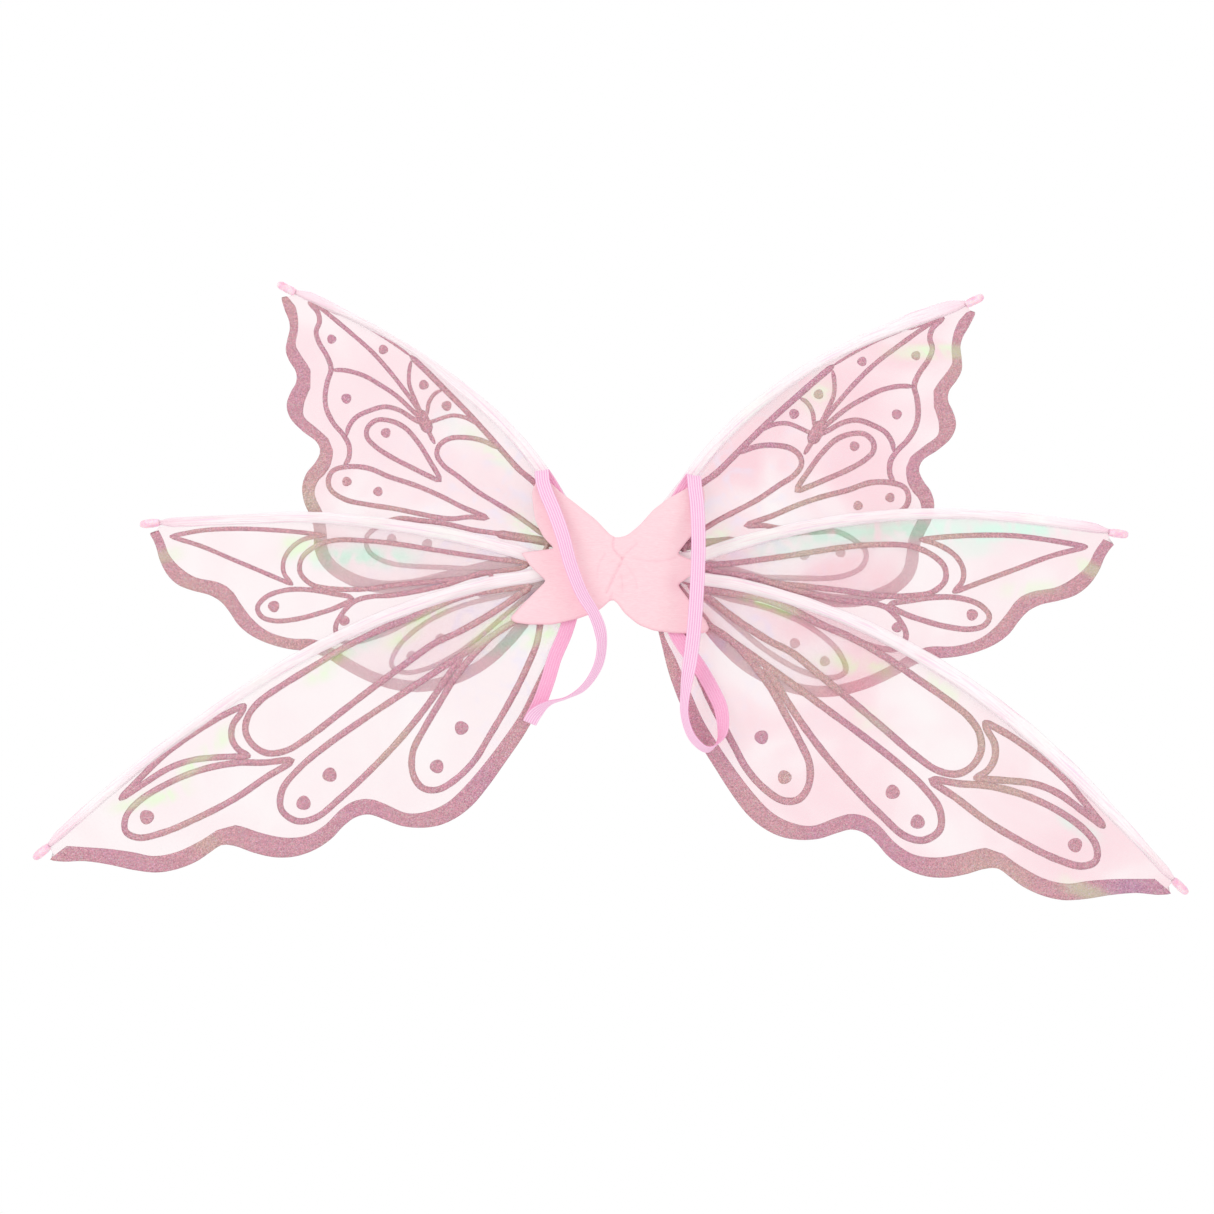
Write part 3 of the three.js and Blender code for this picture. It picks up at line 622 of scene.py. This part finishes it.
class Wing:
    def __init__(self, side, kind):
        self.side, self.kind = side, kind
        self.s = -1 if side == "left" else 1
        shape = WINGS[kind]
        self.shape, self.span, self.layer = shape, shape["span"], shape["layer"]
        self.lift, self.reach, self.curl, self.bow = SET[side, kind]
        self.lift = math.radians(self.lift)
        self.squeeze = self.bow / SET["right", kind][3]
        self.glow = [entry if len(entry) > 6 else (*entry, 0) for entry in SHINE[side, kind]]
        lead = [Vector(self.local(a, b * self.bow)) for a, b in shape["wire"]]
        # the wire runs straight from its eye at the post to its root, then along the leading edge
        first = lead[0]
        reach = first.length
        touch = math.atan2(first.y, first.x) + math.acos(EYE / reach)
        self.eye = Vector((EYE * math.cos(touch), EYE * math.sin(touch)))
        self.root = self.eye.lerp(first, shape["start"] / reach)
        self.tip = lead[-1]
        self.wire = curve([self.root, *lead], 2.5)
        self.out = (self.wire[-1] - self.wire[-3]).normalized()

    def local(self, a, b):
        """Along the wing from its post, and up."""
        return ((self.span + a) * self.reach - self.curl * max(0, 1 + a / 60) ** 2, -b)

    def print_local(self, a, b):
        return Vector(self.local(a, b * self.squeeze if b < 0 else b))

    def lead_height(self, u):
        w = self.wire
        if u <= w[0].x:
            return w[0].y * max(0.0, u) / w[0].x
        lo, hi = 0, len(w) - 1
        while hi - lo > 1:
            mid = (lo + hi) // 2
            if w[mid].x < u:
                lo = mid
            else:
                hi = mid
        part = (u - w[lo].x) / max(1e-6, w[hi].x - w[lo].x)
        return w[lo].y + (w[hi].y - w[lo].y) * min(1, max(0, part))

    def billow(self, u, v):
        """How far the film stands off its layer, in millimetres."""
        below = self.lead_height(u) - v
        hang = ease(below, 3, 45) * ease(u, 0.3 * self.span, 0.52 * self.span) * ease(self.span - u, 12, 80)
        if self.kind == "middle":
            return 0.55 * hang * (0.6 + 0.4 * math.sin(u / 19 + below / 23))
        shift = 1.3 if self.s > 0 else 0
        wave = math.sin(u / 26 + below / 31 + shift) + 0.5 * math.sin(u / 11 - below / 17)
        swell = hang * (2.6 + 1.1 * wave)
        return swell if self.kind == "upper" else -swell

    def at(self, u, v, off=0.0):
        """A point of the wing in the frame, standing off its layer by so many millimetres."""
        c, s = math.cos(self.lift), math.sin(self.lift)
        return Vector((self.s * (POST + u * c - v * s), self.layer + off, u * s + v * c)) * MM

    def sleeve_sides(self, p):
        """How far the sleeve reaches past the wire at p, outwards and then towards the film."""
        a = p.x / self.reach - self.span
        table = FOLD[self.side, self.kind]
        outside = table[0][1] if a < table[0][0] else table[-1][1]
        for (a0, w0), (a1, w1) in zip(table, table[1:]):
            if a0 <= a <= a1:
                outside = w0 + (w1 - w0) * (a - a0) / (a1 - a0)
        band = 9.6 - 3.3 * max(0, min(1, p.x / self.span / self.reach))
        inside = max(1.9, band - outside)
        if self.kind == "upper":
            inside = min(inside, 5.2 - 2.8 * ease(a, -150, -108))
        return outside, inside

    def gleam(self, p, hue):
        """How strongly one of the painted reflections shows on the film at p."""
        most = 0.0
        for a, b, length, width, strength, name, turn in self.glow:
            if name == hue:
                d = Matrix.Rotation(math.radians(-turn), 2) @ (p - self.print_local(a, b))
                most = max(most, strength * math.exp(-((d.x / length) ** 4 + (d.y / width) ** 4)))
        return most

    def body(self):
        return f"{self.side}_{self.kind}_wing"


def side_of(line, i, closed=False):
    n = len(line)
    a = line[(i - 1) % n] if closed or i > 0 else line[i]
    b = line[(i + 1) % n] if closed or i < n - 1 else line[i]
    d = (b - a).normalized()
    return Vector((-d.y, d.x))


def rim(rows):
    """The border of a grid of vertices, once round."""
    first, last = [row[0] for row in rows], [row[-1] for row in reversed(rows[:-1])]
    return first + rows[-1][1:] + last + rows[0][-2:0:-1]


def film_sheet(wing):
    """The clear film, from inside the sleeve to the scalloped edge, thin and closed."""
    lead = []
    straight = [wing.eye.lerp(wing.root, k / 10) for k in range(4, 10)]
    line = straight + wing.wire
    for i, p in enumerate(line):
        q = p - side_of(line, i) * (wing.sleeve_sides(p)[1] - 0.9)
        if q.x > 13 and (p - wing.tip).length > CAP_LENGTH - 3:
            lead.append(q)
    trail = [Vector(wing.local(a, b)) for a, b in reversed(wing.shape["trail"])]
    lead = curve(lead[::3] + [lead[-1]], 3.0)
    edge = curve(trail, 3.0)
    columns, across = 120, 18

    def along(line, part):
        x = part * (len(line) - 1)
        i = min(len(line) - 2, int(x))
        return line[i].lerp(line[i + 1], x - i)

    mesh = bmesh.new()
    fan = mesh.loops.layers.uv.new("fan")
    # painted reflections, per point of the film
    gleam = {hue: mesh.verts.layers.float.new(hue) for hue in ("mint_reflection", "lime_reflection")}
    pleat = mesh.verts.layers.float.new("pleat")
    blush = mesh.verts.layers.float.new("blush")
    where = {}
    sheets = []
    for half in (-0.1, 0.1):
        rows = []
        for i in range(columns + 1):
            part = i / columns
            top, bottom = along(lead, part), along(edge, part)
            row = []
            for j in range(across + 1):
                p = top.lerp(bottom, j / across)
                off = wing.billow(p.x, p.y)
                vert = mesh.verts.new(wing.at(p.x, p.y, off + half))
                where[vert] = p
                for hue in gleam:
                    vert[gleam[hue]] = wing.gleam(p, hue)
                vert[pleat] = 1 - ease(p.length, 60, 190)
                vert[blush] = BLUSH[wing.side, wing.kind]
                row.append(vert)
            rows.append(row)
        sheets.append(rows)
    front, back = sheets
    skin(mesh, front)
    skin(mesh, back)
    area = sum(f.calc_area() for f in mesh.faces) / 2
    rims = list(zip(rim(front), rim(back)))
    for (a, b), (c, d) in zip(rims, rims[1:] + rims[:1]):
        mesh.faces.new((a, c, d, b))
    for face in mesh.faces:
        for loop in face.loops:
            p = where[loop.vert]
            loop[fan].uv = (math.atan2(p.y, p.x) / math.pi + 0.5, p.length * 0.01)
    made = finished(f"{wing.side}_{wing.kind}_wing_film", mesh, wing.body(), FILM)
    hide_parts(f"{wing.side}_{wing.kind}_film")
    return made, area


def line_print(mesh, wing, points, width, closed, thick):
    """One glitter line, a thin crowned ribbon on both faces of the film."""
    path = curve([wing.print_local(a, b) for a, b in points], 2.2, closed)
    n = len(path)
    rows = []
    for i, p in enumerate(path):
        normal = side_of(path, i, closed)
        w = width / 2 * (1 + 0.10 * noise.noise(Vector((p.x * 0.15, p.y * 0.15, thick))))
        if not closed:
            w *= 0.35 + 0.65 * math.sqrt(min(1, min(i, n - 1 - i) / 2))
        ring = []
        for across, lift in ((-1, 0.9), (0, 1), (1, 0.9), (1, -0.9), (0, -1), (-1, -0.9)):
            q = p + normal * (across * w)
            ring.append(mesh.verts.new(wing.at(q.x, q.y, wing.billow(q.x, q.y) - lift * thick)))
        rows.append(ring)
    if closed:
        rows.append(rows[0])
    skin(mesh, rows, around=True, ends=not closed)


def dot_print(mesh, wing, a, b, radius, thick):
    centre = wing.print_local(a, b)
    rings = []
    for part, lift in ((0.35, 1.0), (0.8, 0.9), (1.0, 0.5), (1.0, -0.5), (0.8, -0.9), (0.35, -1.0)):
        ring = []
        for k in range(18):
            t = k / 18 * 2 * math.pi
            r = radius * part * (1 + 0.05 * math.sin(3 * t + a))
            q = centre + Vector((r * math.cos(t), r * math.sin(t)))
            ring.append(mesh.verts.new(wing.at(q.x, q.y, wing.billow(q.x, q.y) - lift * thick)))
        rings.append(ring)
    skin(mesh, rings, around=True)


def border_print(mesh, wing, thick):
    """The broad glitter edge, from the scalloped outline to its own inner line."""
    shape = wing.shape
    outer = curve([Vector(wing.local(a, b)) for a, b in shape["trail"]], 2.2)
    inner = [wing.print_local(a, b) for a, b in shape["border"]]
    last = inner[-1]
    for i, p in enumerate(outer):
        if i % 5 == 0 and p.x < last.x - 4 and (p - last).length > 9 and i > len(outer) * 0.4:
            inner.append(p + side_of(outer, i) * -shape["band"])
    inner = curve(inner, 1.1)
    rows, j = [], 0
    for i, p in enumerate(outer):
        j = min(range(j, min(len(inner), j + 14)), key=lambda k: (inner[k] - p).length)
        q = inner[j]
        ring = []
        levels = ((0.0, 0.5), (0.12, 1), (0.5, 1.1), (0.88, 1), (1, 0.5))
        for side in (1, -1):
            for part, lift in levels if side > 0 else reversed(levels):
                r = p.lerp(q, part)
                ring.append(mesh.verts.new(wing.at(r.x, r.y, wing.billow(r.x, r.y) - side * lift * thick)))
        rows.append(ring)
    skin(mesh, rows, around=True)


def glitter_print(wing):
    mesh = bmesh.new()
    lime_reflection = mesh.verts.layers.float.new("lime_reflection")
    border_print(mesh, wing, 0.20)
    for k, (width, closed, points) in enumerate(LINES[wing.kind]):
        line_print(mesh, wing, points, width * PRESS[wing.side, wing.kind], bool(closed), 0.21 + 0.006 * k)
    for k, (a, b, radius) in enumerate(DOTS[wing.kind]):
        dot_print(mesh, wing, a, b, radius, 0.22 + 0.003 * k)
    # painted lime reflection, per point of the print
    c, s = math.cos(wing.lift), math.sin(wing.lift)
    for vert in mesh.verts:
        x, z = wing.s * vert.co.x / MM - POST, vert.co.z / MM
        vert[lime_reflection] = wing.gleam(Vector((x * c + z * s, z * c - x * s)), "lime_reflection")
    return finished(f"{wing.side}_{wing.kind}_glitter_print", mesh, wing.body(), GLITTER)


def sleeve(wing):
    """Film doubled over the wire and welded beside it, creased and a little uneven."""
    stub = (wing.root - wing.eye).length
    marks = [SLEEVE_START[wing.kind] + k * 2.5 for k in range(20)]
    line = [wing.eye.lerp(wing.root, mark / stub) for mark in marks if mark < stub - 1]
    line += [p for p in wing.wire if (p - wing.tip).length > CAP_LENGTH - 3.2]
    total = len(line) - 1
    mesh = bmesh.new()
    run = mesh.loops.layers.uv.new("run")
    dyed = mesh.verts.layers.float.new("dyed")
    place = {}
    rows = []
    length = 0.0
    around = [(-1.0, 0), (-0.93, 0.55), (-0.7, 0.9), (-0.35, 1), (0, 1), (0.35, 0.86), (0.62, 0.5),
              (0.8, 0.26), (1.0, 0.14)]
    ring_shape = around + [(c, -h) for c, h in reversed(around[1:])]
    for i, p in enumerate(line):
        if i:
            length += (p - line[i - 1]).length
        normal = side_of(line, i)
        part = i / total
        outside, inside = wing.sleeve_sides(p)
        drawn = 0.42 + 0.58 * ease((p - wing.tip).length, 9.5, 24)
        outside, inside = outside * drawn, inside * drawn
        uneven = 1 + 0.05 * noise.noise(Vector((length * 0.05, wing.layer, 0)))
        ring = []
        for c, h in ring_shape:
            wrinkle = noise.noise(Vector((length * 0.045, c * 2.1 + wing.layer, wing.s * 3 + wing.lift)))
            thick = (1.02 + 0.32 * ease(length, 4, 22)) * h * (1 + 0.10 * wrinkle) * (1 - 0.12 * part)
            q = p - normal * (c * (inside if c > 0 else outside) * uneven)
            vert = mesh.verts.new(wing.at(q.x, q.y, thick))
            vert[dyed] = 0.42 * (1 - ease((p - wing.tip).length, 8, 60))
            place[vert] = (length, (c + 1) / 2)
            ring.append(vert)
        rows.append(ring)
    skin(mesh, rows, around=True)
    for face in mesh.faces:
        for loop in face.loops:
            loop[run].uv = place[loop.vert]
    made = finished(f"{wing.side}_{wing.kind}_wing_sleeve", mesh, wing.body(), SLEEVE)
    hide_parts(f"{wing.side}_{wing.kind}_sleeve")
    return made


def only(choose):
    """In edit mode, select just the faces that choose picks."""
    held = bmesh.from_edit_mesh(bpy.context.active_object.data)
    bpy.ops.mesh.select_all(action="DESELECT")
    for face in held.faces:
        if choose(face):
            face.select_set(True)
    held.select_flush_mode()
    bmesh.update_edit_mesh(bpy.context.active_object.data)


def tip_cap(wing):
    """A soft cap pushed over the end of the wire: a mouth with a rolled lip, a waist and a rounded nose."""
    bpy.ops.object.select_all(action="DESELECT")
    bpy.ops.mesh.primitive_cylinder_add(vertices=16, radius=0.0026, depth=0.001, end_fill_type="NGON",
                                        location=(0, 0, 0.0005))
    bpy.ops.object.transform_apply(location=True, rotation=False, scale=False)
    made = bpy.context.active_object
    made.name = f"{wing.side}_{wing.kind}_cap"
    bpy.ops.object.mode_set(mode="EDIT")
    top = 0.001
    for step, grow in CAP_STEPS:
        only(lambda f, z=top: f.normal.z > 0.9 and abs(f.calc_center_median().z - z) < 1e-5)
        bpy.ops.mesh.extrude_region_move(TRANSFORM_OT_translate={"value": (0, 0, step)})
        bpy.ops.transform.resize(value=(grow, grow, 1))
        top += step
    only(lambda f: f.normal.z < -0.9)
    bpy.ops.mesh.inset(thickness=0.0007, depth=0)
    bpy.ops.mesh.extrude_region_move(TRANSFORM_OT_translate={"value": (0, 0, 0.0008)})
    bpy.ops.mesh.select_all(action="SELECT")
    bpy.ops.mesh.normals_make_consistent(inside=False)
    bpy.ops.object.mode_set(mode="OBJECT")
    swell = made.modifiers.new("round", "SUBSURF")
    swell.levels = swell.render_levels = 2
    bpy.ops.object.modifier_apply(modifier="round")
    out = (wing.at(*(wing.tip + wing.out)) - wing.at(*wing.tip)).normalized()
    base = wing.at(*wing.tip) - out * (CAP_SEAT * MM)
    turn = Vector((0, 0, 1)).rotation_difference(out).to_matrix().to_4x4()
    for vert in made.data.vertices:
        vert.co = Matrix.Translation(base) @ turn @ vert.co
        puckered = noise.noise(vert.co * 420)
        vert.co += (vert.co - (base + out * 0.006)).normalized() * (0.00025 * puckered)
    for face in made.data.polygons:
        face.use_smooth = True
    made.data.materials.clear()
    made.data.materials.append(CAP)
    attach(made, wing.body())
    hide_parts(f"{wing.side}_{wing.kind}_tip_cap")


for side in ("left", "right"):
    for kind in ("upper", "middle", "lower"):
        wing = Wing(side, kind)
        sheet, cut = film_sheet(wing)
        trims = [glitter_print(wing), sleeve(wing)]
        tip_cap(wing)

# ---------------------------------------------------------------- fabric hub
CORNER = 2.2  # how far a softened corner reaches, in millimetres
NET = 1.05  # spacing of the points that fill a cover
WAIST = 44  # height of the hub at its middle
# the outline of each half, from the top of the waist round to its foot
HUB = {
    1: [(0, 22), (4, 22.2), (9, 24.2), (17, 31.3), (26, 42), (36, 50), (46, 56), (53, 60.2), (58, 61),
        (61, 57.5), (61.8, 50), (60, 38), (56.5, 28.5), (51.5, 22.5), (43.5, 11.6), (59, 5.5), (60, 1.5),
        (44.4, -10), (51.6, -19), (58, -26.5), (64.5, -34), (67.2, -40), (65, -43), (54.7, -43.8),
        (41.4, -43.7), (28, -42.3), (17.5, -38.4), (8, -31), (2.4, -23.6), (0, -22)],
    -1: [(0, 22), (-4, 24), (-13.8, 33.9), (-27.8, 44.5), (-38.8, 52.4), (-45, 58), (-50.3, 61.2),
        (-55.5, 60), (-58.5, 55), (-58.7, 48), (-56.5, 34), (-54.3, 28.5), (-49.9, 20.4), (-42.4, 13.2),
        (-65.7, 9.5), (-58, -0.5), (-47.4, -9.6), (-56, -18.5), (-65, -28), (-71.9, -36.2), (-69, -39.2),
        (-58.8, -40.4), (-42.7, -40), (-25.7, -35.8), (-16.3, -32.2), (-9, -28.4), (-2.6, -22.2), (0, -22)],
}
# creases pressed into the cloth: depth, half width, and the line
CREASES = [
    (0.75, 1.5, [(-1, 22), (-1.5, 15), (2, 10), (5, 7), (3, 1), (0, -5), (-3, -12), (-5, -17)]),
    (0.5, 1.4, [(5, 7), (8, 11), (11, 14), (15, 18)]),
    (0.38, 1.5, [(6, 7), (11, 8), (18, 6.5), (28, 6), (36, 7), (43, 9)]),
    (0.45, 1.4, [(4, -3), (5.5, -8), (6, -16)]),
    (0.3, 1.6, [(-7, 10), (-11, 3), (-12, -6)]),
    (0.28, 1.6, [(9, 2), (14, -5), (16, -13)]),
    (0.6, 2.0, [(-2.5, -21.5), (-1.5, -17)]),
]


def polyline(points, step):
    out = []
    for a, b in zip(points, points[1:]):
        a, b = Vector(a), Vector(b)
        n = max(1, round((b - a).length / step))
        out += [a.lerp(b, k / n) for k in range(n)]
    out.append(Vector(points[-1]))
    return out


def tree_of(points):
    tree = kdtree.KDTree(len(points))
    for i, p in enumerate(points):
        tree.insert((p[0], p[1], 0), i)
    tree.balance()
    return tree


def rounded(points):
    """The half outline with its corners just softened, without its straight line at the middle."""
    out = [Vector(points[0])]
    for i in range(1, len(points) - 1):
        a, b, c = (Vector(p) for p in points[i - 1:i + 2])
        near, far = (b.lerp(end, min(0.4, CORNER / (b - end).length)) for end in (a, c))
        out += [near, b * 0.5 + (near + far) * 0.25, far]
    out.append(Vector(points[-1]))
    return polyline(out, 1.0)


EDGE = {s: rounded(HUB[s]) for s in (1, -1)}
EDGE_TREE = tree_of([p for s in (1, -1) for p in polyline(EDGE[s], 0.25)])
CREASE_TREES = [(depth, wide, tree_of(polyline(curve(line, 1.0), 0.4))) for depth, wide, line in CREASES]


def rim_distance(x, z):
    return EDGE_TREE.find((x, z, 0))[2]


def pressed(x, z):
    total = 0.0
    for depth, wide, tree in CREASE_TREES:
        d = tree.find((x, z, 0))[2]
        valley = math.exp(-((d / (wide * 0.55)) ** 2))
        total += depth * (valley - 0.35 * math.exp(-(((d - wide * 1.6) / wide) ** 2)))
    return total


def cover_plan(s):
    """Half a cover laid flat, as the points and triangles of a fine net inside its outline."""
    outline = EDGE[s]
    flat = [tuple(p) for p in outline[:-1]] + [(0, WAIST / 2 - WAIST * k / 36) for k in range(36, 0, -1)]
    count = len(flat)
    for row in range(-54, 78):
        z = row * NET * 0.8
        for k in range(int(74 / NET)):
            x = s * (k + 1) * NET + s * NET * 0.5 * (row % 2)
            if rim_distance(x, z) > 0.75:
                flat.append((x, z))
    for i, p in enumerate(outline[1:-1], 1):
        normal = side_of(outline, i)
        for inset in (0.3, 0.8):
            for way in (1, -1):
                q = p + normal * (inset * way)
                if rim_distance(q.x, q.y) > inset * 0.93 and q.x * s > 0.4:
                    flat.append((q.x, q.y))
    ring = [(i, (i + 1) % count) for i in range(count)]
    net = geometry.delaunay_2d_cdt([Vector(p) for p in flat], ring, [list(range(count))], 2, 1e-5)
    return net[0], net[2]


def cover_depth(x, z, d, front, facing):
    """Where a skin of a cover lies in depth, in millimetres; facing is -1 for the skin nearer the wearer."""
    fat = math.sqrt(max(0.0, 1 - (1 - min(1.0, d / 1.9)) ** 2))
    if front and facing > 0:
        return 1.3 + 1.15 * fat
    pad = ease(d, 0, 16)
    ripple = noise.noise(Vector((x * 0.09, z * 0.13, 4 if front else 9)))
    waist = math.exp(-((x / 17) ** 2 + (z / 22) ** 2))
    pucker = waist * noise.noise(Vector((x * 0.16, z * 0.42, 2.5)))
    if front:
        y = 1.2 - 1.25 * fat - 1.15 * pad * (1 - 0.35 * waist) + 0.35 * ripple * pad - 0.8 * pucker * pad
        return min(y + pressed(x, z) * min(1, d / 3), 1.4)
    step = ease(abs(x), 8.4, 12.6)
    mid = 3.55 + (12.0 - 3.55) * step
    # the two covers are sewn together along the top and bottom of the waist, clear of the wings
    shut = (1 - ease(d, 0.5, 7)) * step
    top_seam = ease(z, 22, 25) * (1 - ease(abs(x), 14, 19)) * ease(z - 0.9 * abs(x), -2, 6)
    foot_seam = ease(-z, 24, 28) * (1 - ease(abs(x), 20, 25))
    mid -= 8.5 * shut * max(top_seam, foot_seam)
    half = (0.75 + 0.25 * step) * fat
    if facing < 0:
        return mid - half
    return mid + half + (0.9 * pad * step) + 0.3 * ripple * pad * step - 0.5 * pucker * pad


def cover_shade(x, z, d):
    """Painted shade on the cloth: darker at its rim, most on the lower side, in its creases and in the notch
    of the right side.
    """
    lower_side_shade = ease(-z, 12, 40) * 0.55 + 0.35
    edge = 0.55 * max(0.0, 1 - d / 2.0) ** 1.3 * lower_side_shade
    crease = 0.4 * min(1, max(0, pressed(x, z)) / 0.8)
    return edge + crease + 0.22 * math.exp(-(((x - 43) / 5) ** 2 + ((z + 10) / 6) ** 2))


def hub_half(s, front, points, triangles):
    """One half of a cover: two skins that meet along the outline, padded between."""
    mesh = bmesh.new()
    painted_shade = mesh.verts.layers.float.new("painted_shade")
    skins = []
    for facing in (-1, 1):
        layer = []
        for i, (x, z) in enumerate(points):
            d = rim_distance(x, z)
            if facing > 0 and abs(x) > 1e-4 and d < 0.05:
                layer.append(skins[0][i])
                continue
            vert = mesh.verts.new(Vector((x, cover_depth(x, z, d, front, facing), z)) * MM)
            # painted shade, kept per point for the cloth colour
            vert[painted_shade] = cover_shade(x, z, d)
            layer.append(vert)
        skins.append(layer)
    for triangle in triangles:
        for layer in skins:
            corners = [layer[i] for i in triangle]
            if mesh.faces.get(corners) is None:
                mesh.faces.new(corners)
    centre = sorted((i for i, p in enumerate(points) if abs(p.x) < 1e-4), key=lambda i: points[i].y)
    for a, b in zip(centre, centre[1:]):
        wall = mesh.faces.new((skins[0][a], skins[0][b], skins[1][b], skins[1][a]))
        for e in wall.edges:
            e.smooth = False
    side, cover = "left" if s < 0 else "right", "front" if front else "back"
    made = finished(f"{side}_{cover}_padding", mesh, None, CLOTH)
    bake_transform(made)
    nodes = [f"{side}_{cover}_cover"]
    if s > 0:
        nodes.append(f"{cover}_cover_centre")
    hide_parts(*nodes)


for s in (-1, 1):
    plan = cover_plan(s)
    for front in (True, False):
        hub_half(s, front, *plan)

# ---------------------------------------------------------------- elastic arm loops
# the middle of the strap and the way its width lies, in millimetres
LOOPS = {
    "right": [
        ((38, 3.4, 40), (0.87, 0, -0.5)), ((47.6, 3.5, 57.5), (0.88, 0, -0.47)),
        ((51.8, 3, 64), (0.95, 0, -0.3)), ((53.2, 1, 66.2), (0.99, 0, -0.12)),
        ((53.8, -1.4, 64.6), (1, 0, -0.04)), ((54.4, -3, 59), (1, 0, 0)), ((56.2, -7, 46), (1, 0, 0)),
        ((57.8, -12, 18), (1, 0, 0)), ((57.4, -14, -15), (1, 0, 0)), ((56, -13.5, -43), (1, 0, 0)),
        ((54, -12, -63), (0.96, -0.2, 0)), ((51.6, -10.5, -82), (0.7, -0.7, 0.1)),
        ((51.4, -9, -101), (0.5, -0.85, 0.2)), ((58, -8, -117), (0.42, -0.85, 0.36)),
        ((68.4, -7, -124), (0.25, -0.85, 0.45)), ((77.4, -5, -115), (0.6, -0.65, 0.45)),
        ((77, -1.6, -97), (0.88, -0.3, 0.3)), ((70.4, 1, -82.5), (0.88, 0, 0.44)),
        ((60.6, 2.6, -66.5), (0.86, 0, 0.5)), ((50, 3.4, -53), (0.8, 0, 0.55)),
        ((43.6, 3.4, -43), (0.86, 0, 0.5)), ((38, 3.4, -27), (0.94, 0, 0.3)),
    ],
    "left": [
        ((-36, 3.4, 40), (0.87, 0, 0.5)), ((-46.4, 3.5, 58), (0.87, 0, 0.48)),
        ((-51, 3, 64.6), (0.95, 0, 0.3)), ((-52.4, 1, 66.8), (0.99, 0, 0.12)),
        ((-52.3, -1.4, 65), (1, 0, 0.05)), ((-51.6, -3.2, 59.5), (0.97, 0, 0.1)),
        ((-49, -6.5, 52), (0.92, 0, 0.3)), ((-42.7, -9.5, 38), (0.93, 0, 0.36)),
        ((-36.6, -12, 22), (0.92, 0.2, 0.34)), ((-30.5, -13, 2), (0.86, 0.38, 0.36)),
        ((-22.3, -13, -17.4), (0.78, 0.5, 0.4)), ((-13.6, -12, -31.2), (0.72, 0.6, 0.35)),
        ((-9.1, -11, -42), (0.8, 0.55, 0.25)), ((-7.4, -10, -53), (0.7, 0.72, 0.05)),
        ((-9.8, -9, -68), (0.6, 0.78, -0.2)), ((-19.2, -8.5, -83), (0.28, 0.9, -0.36)),
        ((-31, -8, -90.5), (0.1, 0.97, -0.1)), ((-44, -7.4, -95), (0.4, 0.85, -0.2)),
        ((-53, -6, -103), (0.85, 0.35, -0.4)), ((-56.2, -4, -108.5), (0.93, 0.1, -0.35)),
        ((-54.6, -1.2, -105), (0.93, 0.05, -0.33)), ((-49.6, 0.8, -94), (0.95, 0, -0.3)),
        ((-44.5, 2.2, -79), (0.95, 0, -0.3)), ((-40, 3, -62.7), (0.94, 0, -0.32)),
        ((-33.5, 3.4, -46.4), (0.92, 0, -0.38)), ((-28.5, 3.4, -29), (0.95, 0, -0.3)),
    ],
}


def arm_strap(side):
    """A flat ribbed band, its six cords standing a little proud on both faces."""
    stations = LOOPS[side]
    middles, widths = [Vector(p) for p, _ in stations], [Vector(w) for _, w in stations]
    steps = (len(stations) - 1) * 8
    mesh = bmesh.new()
    weave = mesh.loops.layers.uv.new("weave")
    inner = mesh.verts.layers.float.new("inner")
    rows, place = [], {}
    length = 0.0
    before = None
    across = [k / 48 for k in range(49)]
    for i in range(steps + 1):
        t = i / 8
        p = spline(middles, min(t, len(stations) - 1))
        ahead = spline(middles, min(t + 0.02, len(stations) - 1))
        along = (ahead - spline(middles, max(t - 0.02, 0))).normalized()
        w = spline(widths, min(t, len(stations) - 1), even=True)
        w = (w - along * w.dot(along)).normalized()
        n = along.cross(w).normalized()
        if before is not None:
            length += (p - before).length
        before = p
        ring = []
        for face in (-1, 1):
            for a in across if face < 0 else reversed(across):
                c = 2 * a - 1
                rib = 0.09 * math.cos(2 * math.pi * CORDS * a + math.pi)
                thick = (0.46 + rib) * math.sqrt(max(0.05, 1 - abs(c) ** 14))
                q = p + w * (c * 5.0) + n * (face * thick)
                vert = mesh.verts.new(q * MM)
                vert[inner] = 1.0 if face < 0 else 0.0
                place[vert] = (length, a)
                ring.append(vert)
        rows.append(ring)
    skin(mesh, rows, around=True)
    for face in mesh.faces:
        for loop in face.loops:
            loop[weave].uv = place[loop.vert]
    made = finished(f"{side}_elastic_loop", mesh, f"{side}_side", ELASTIC)
    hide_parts(f"{side}_arm_strap")


for side in ("left", "right"):
    arm_strap(side)
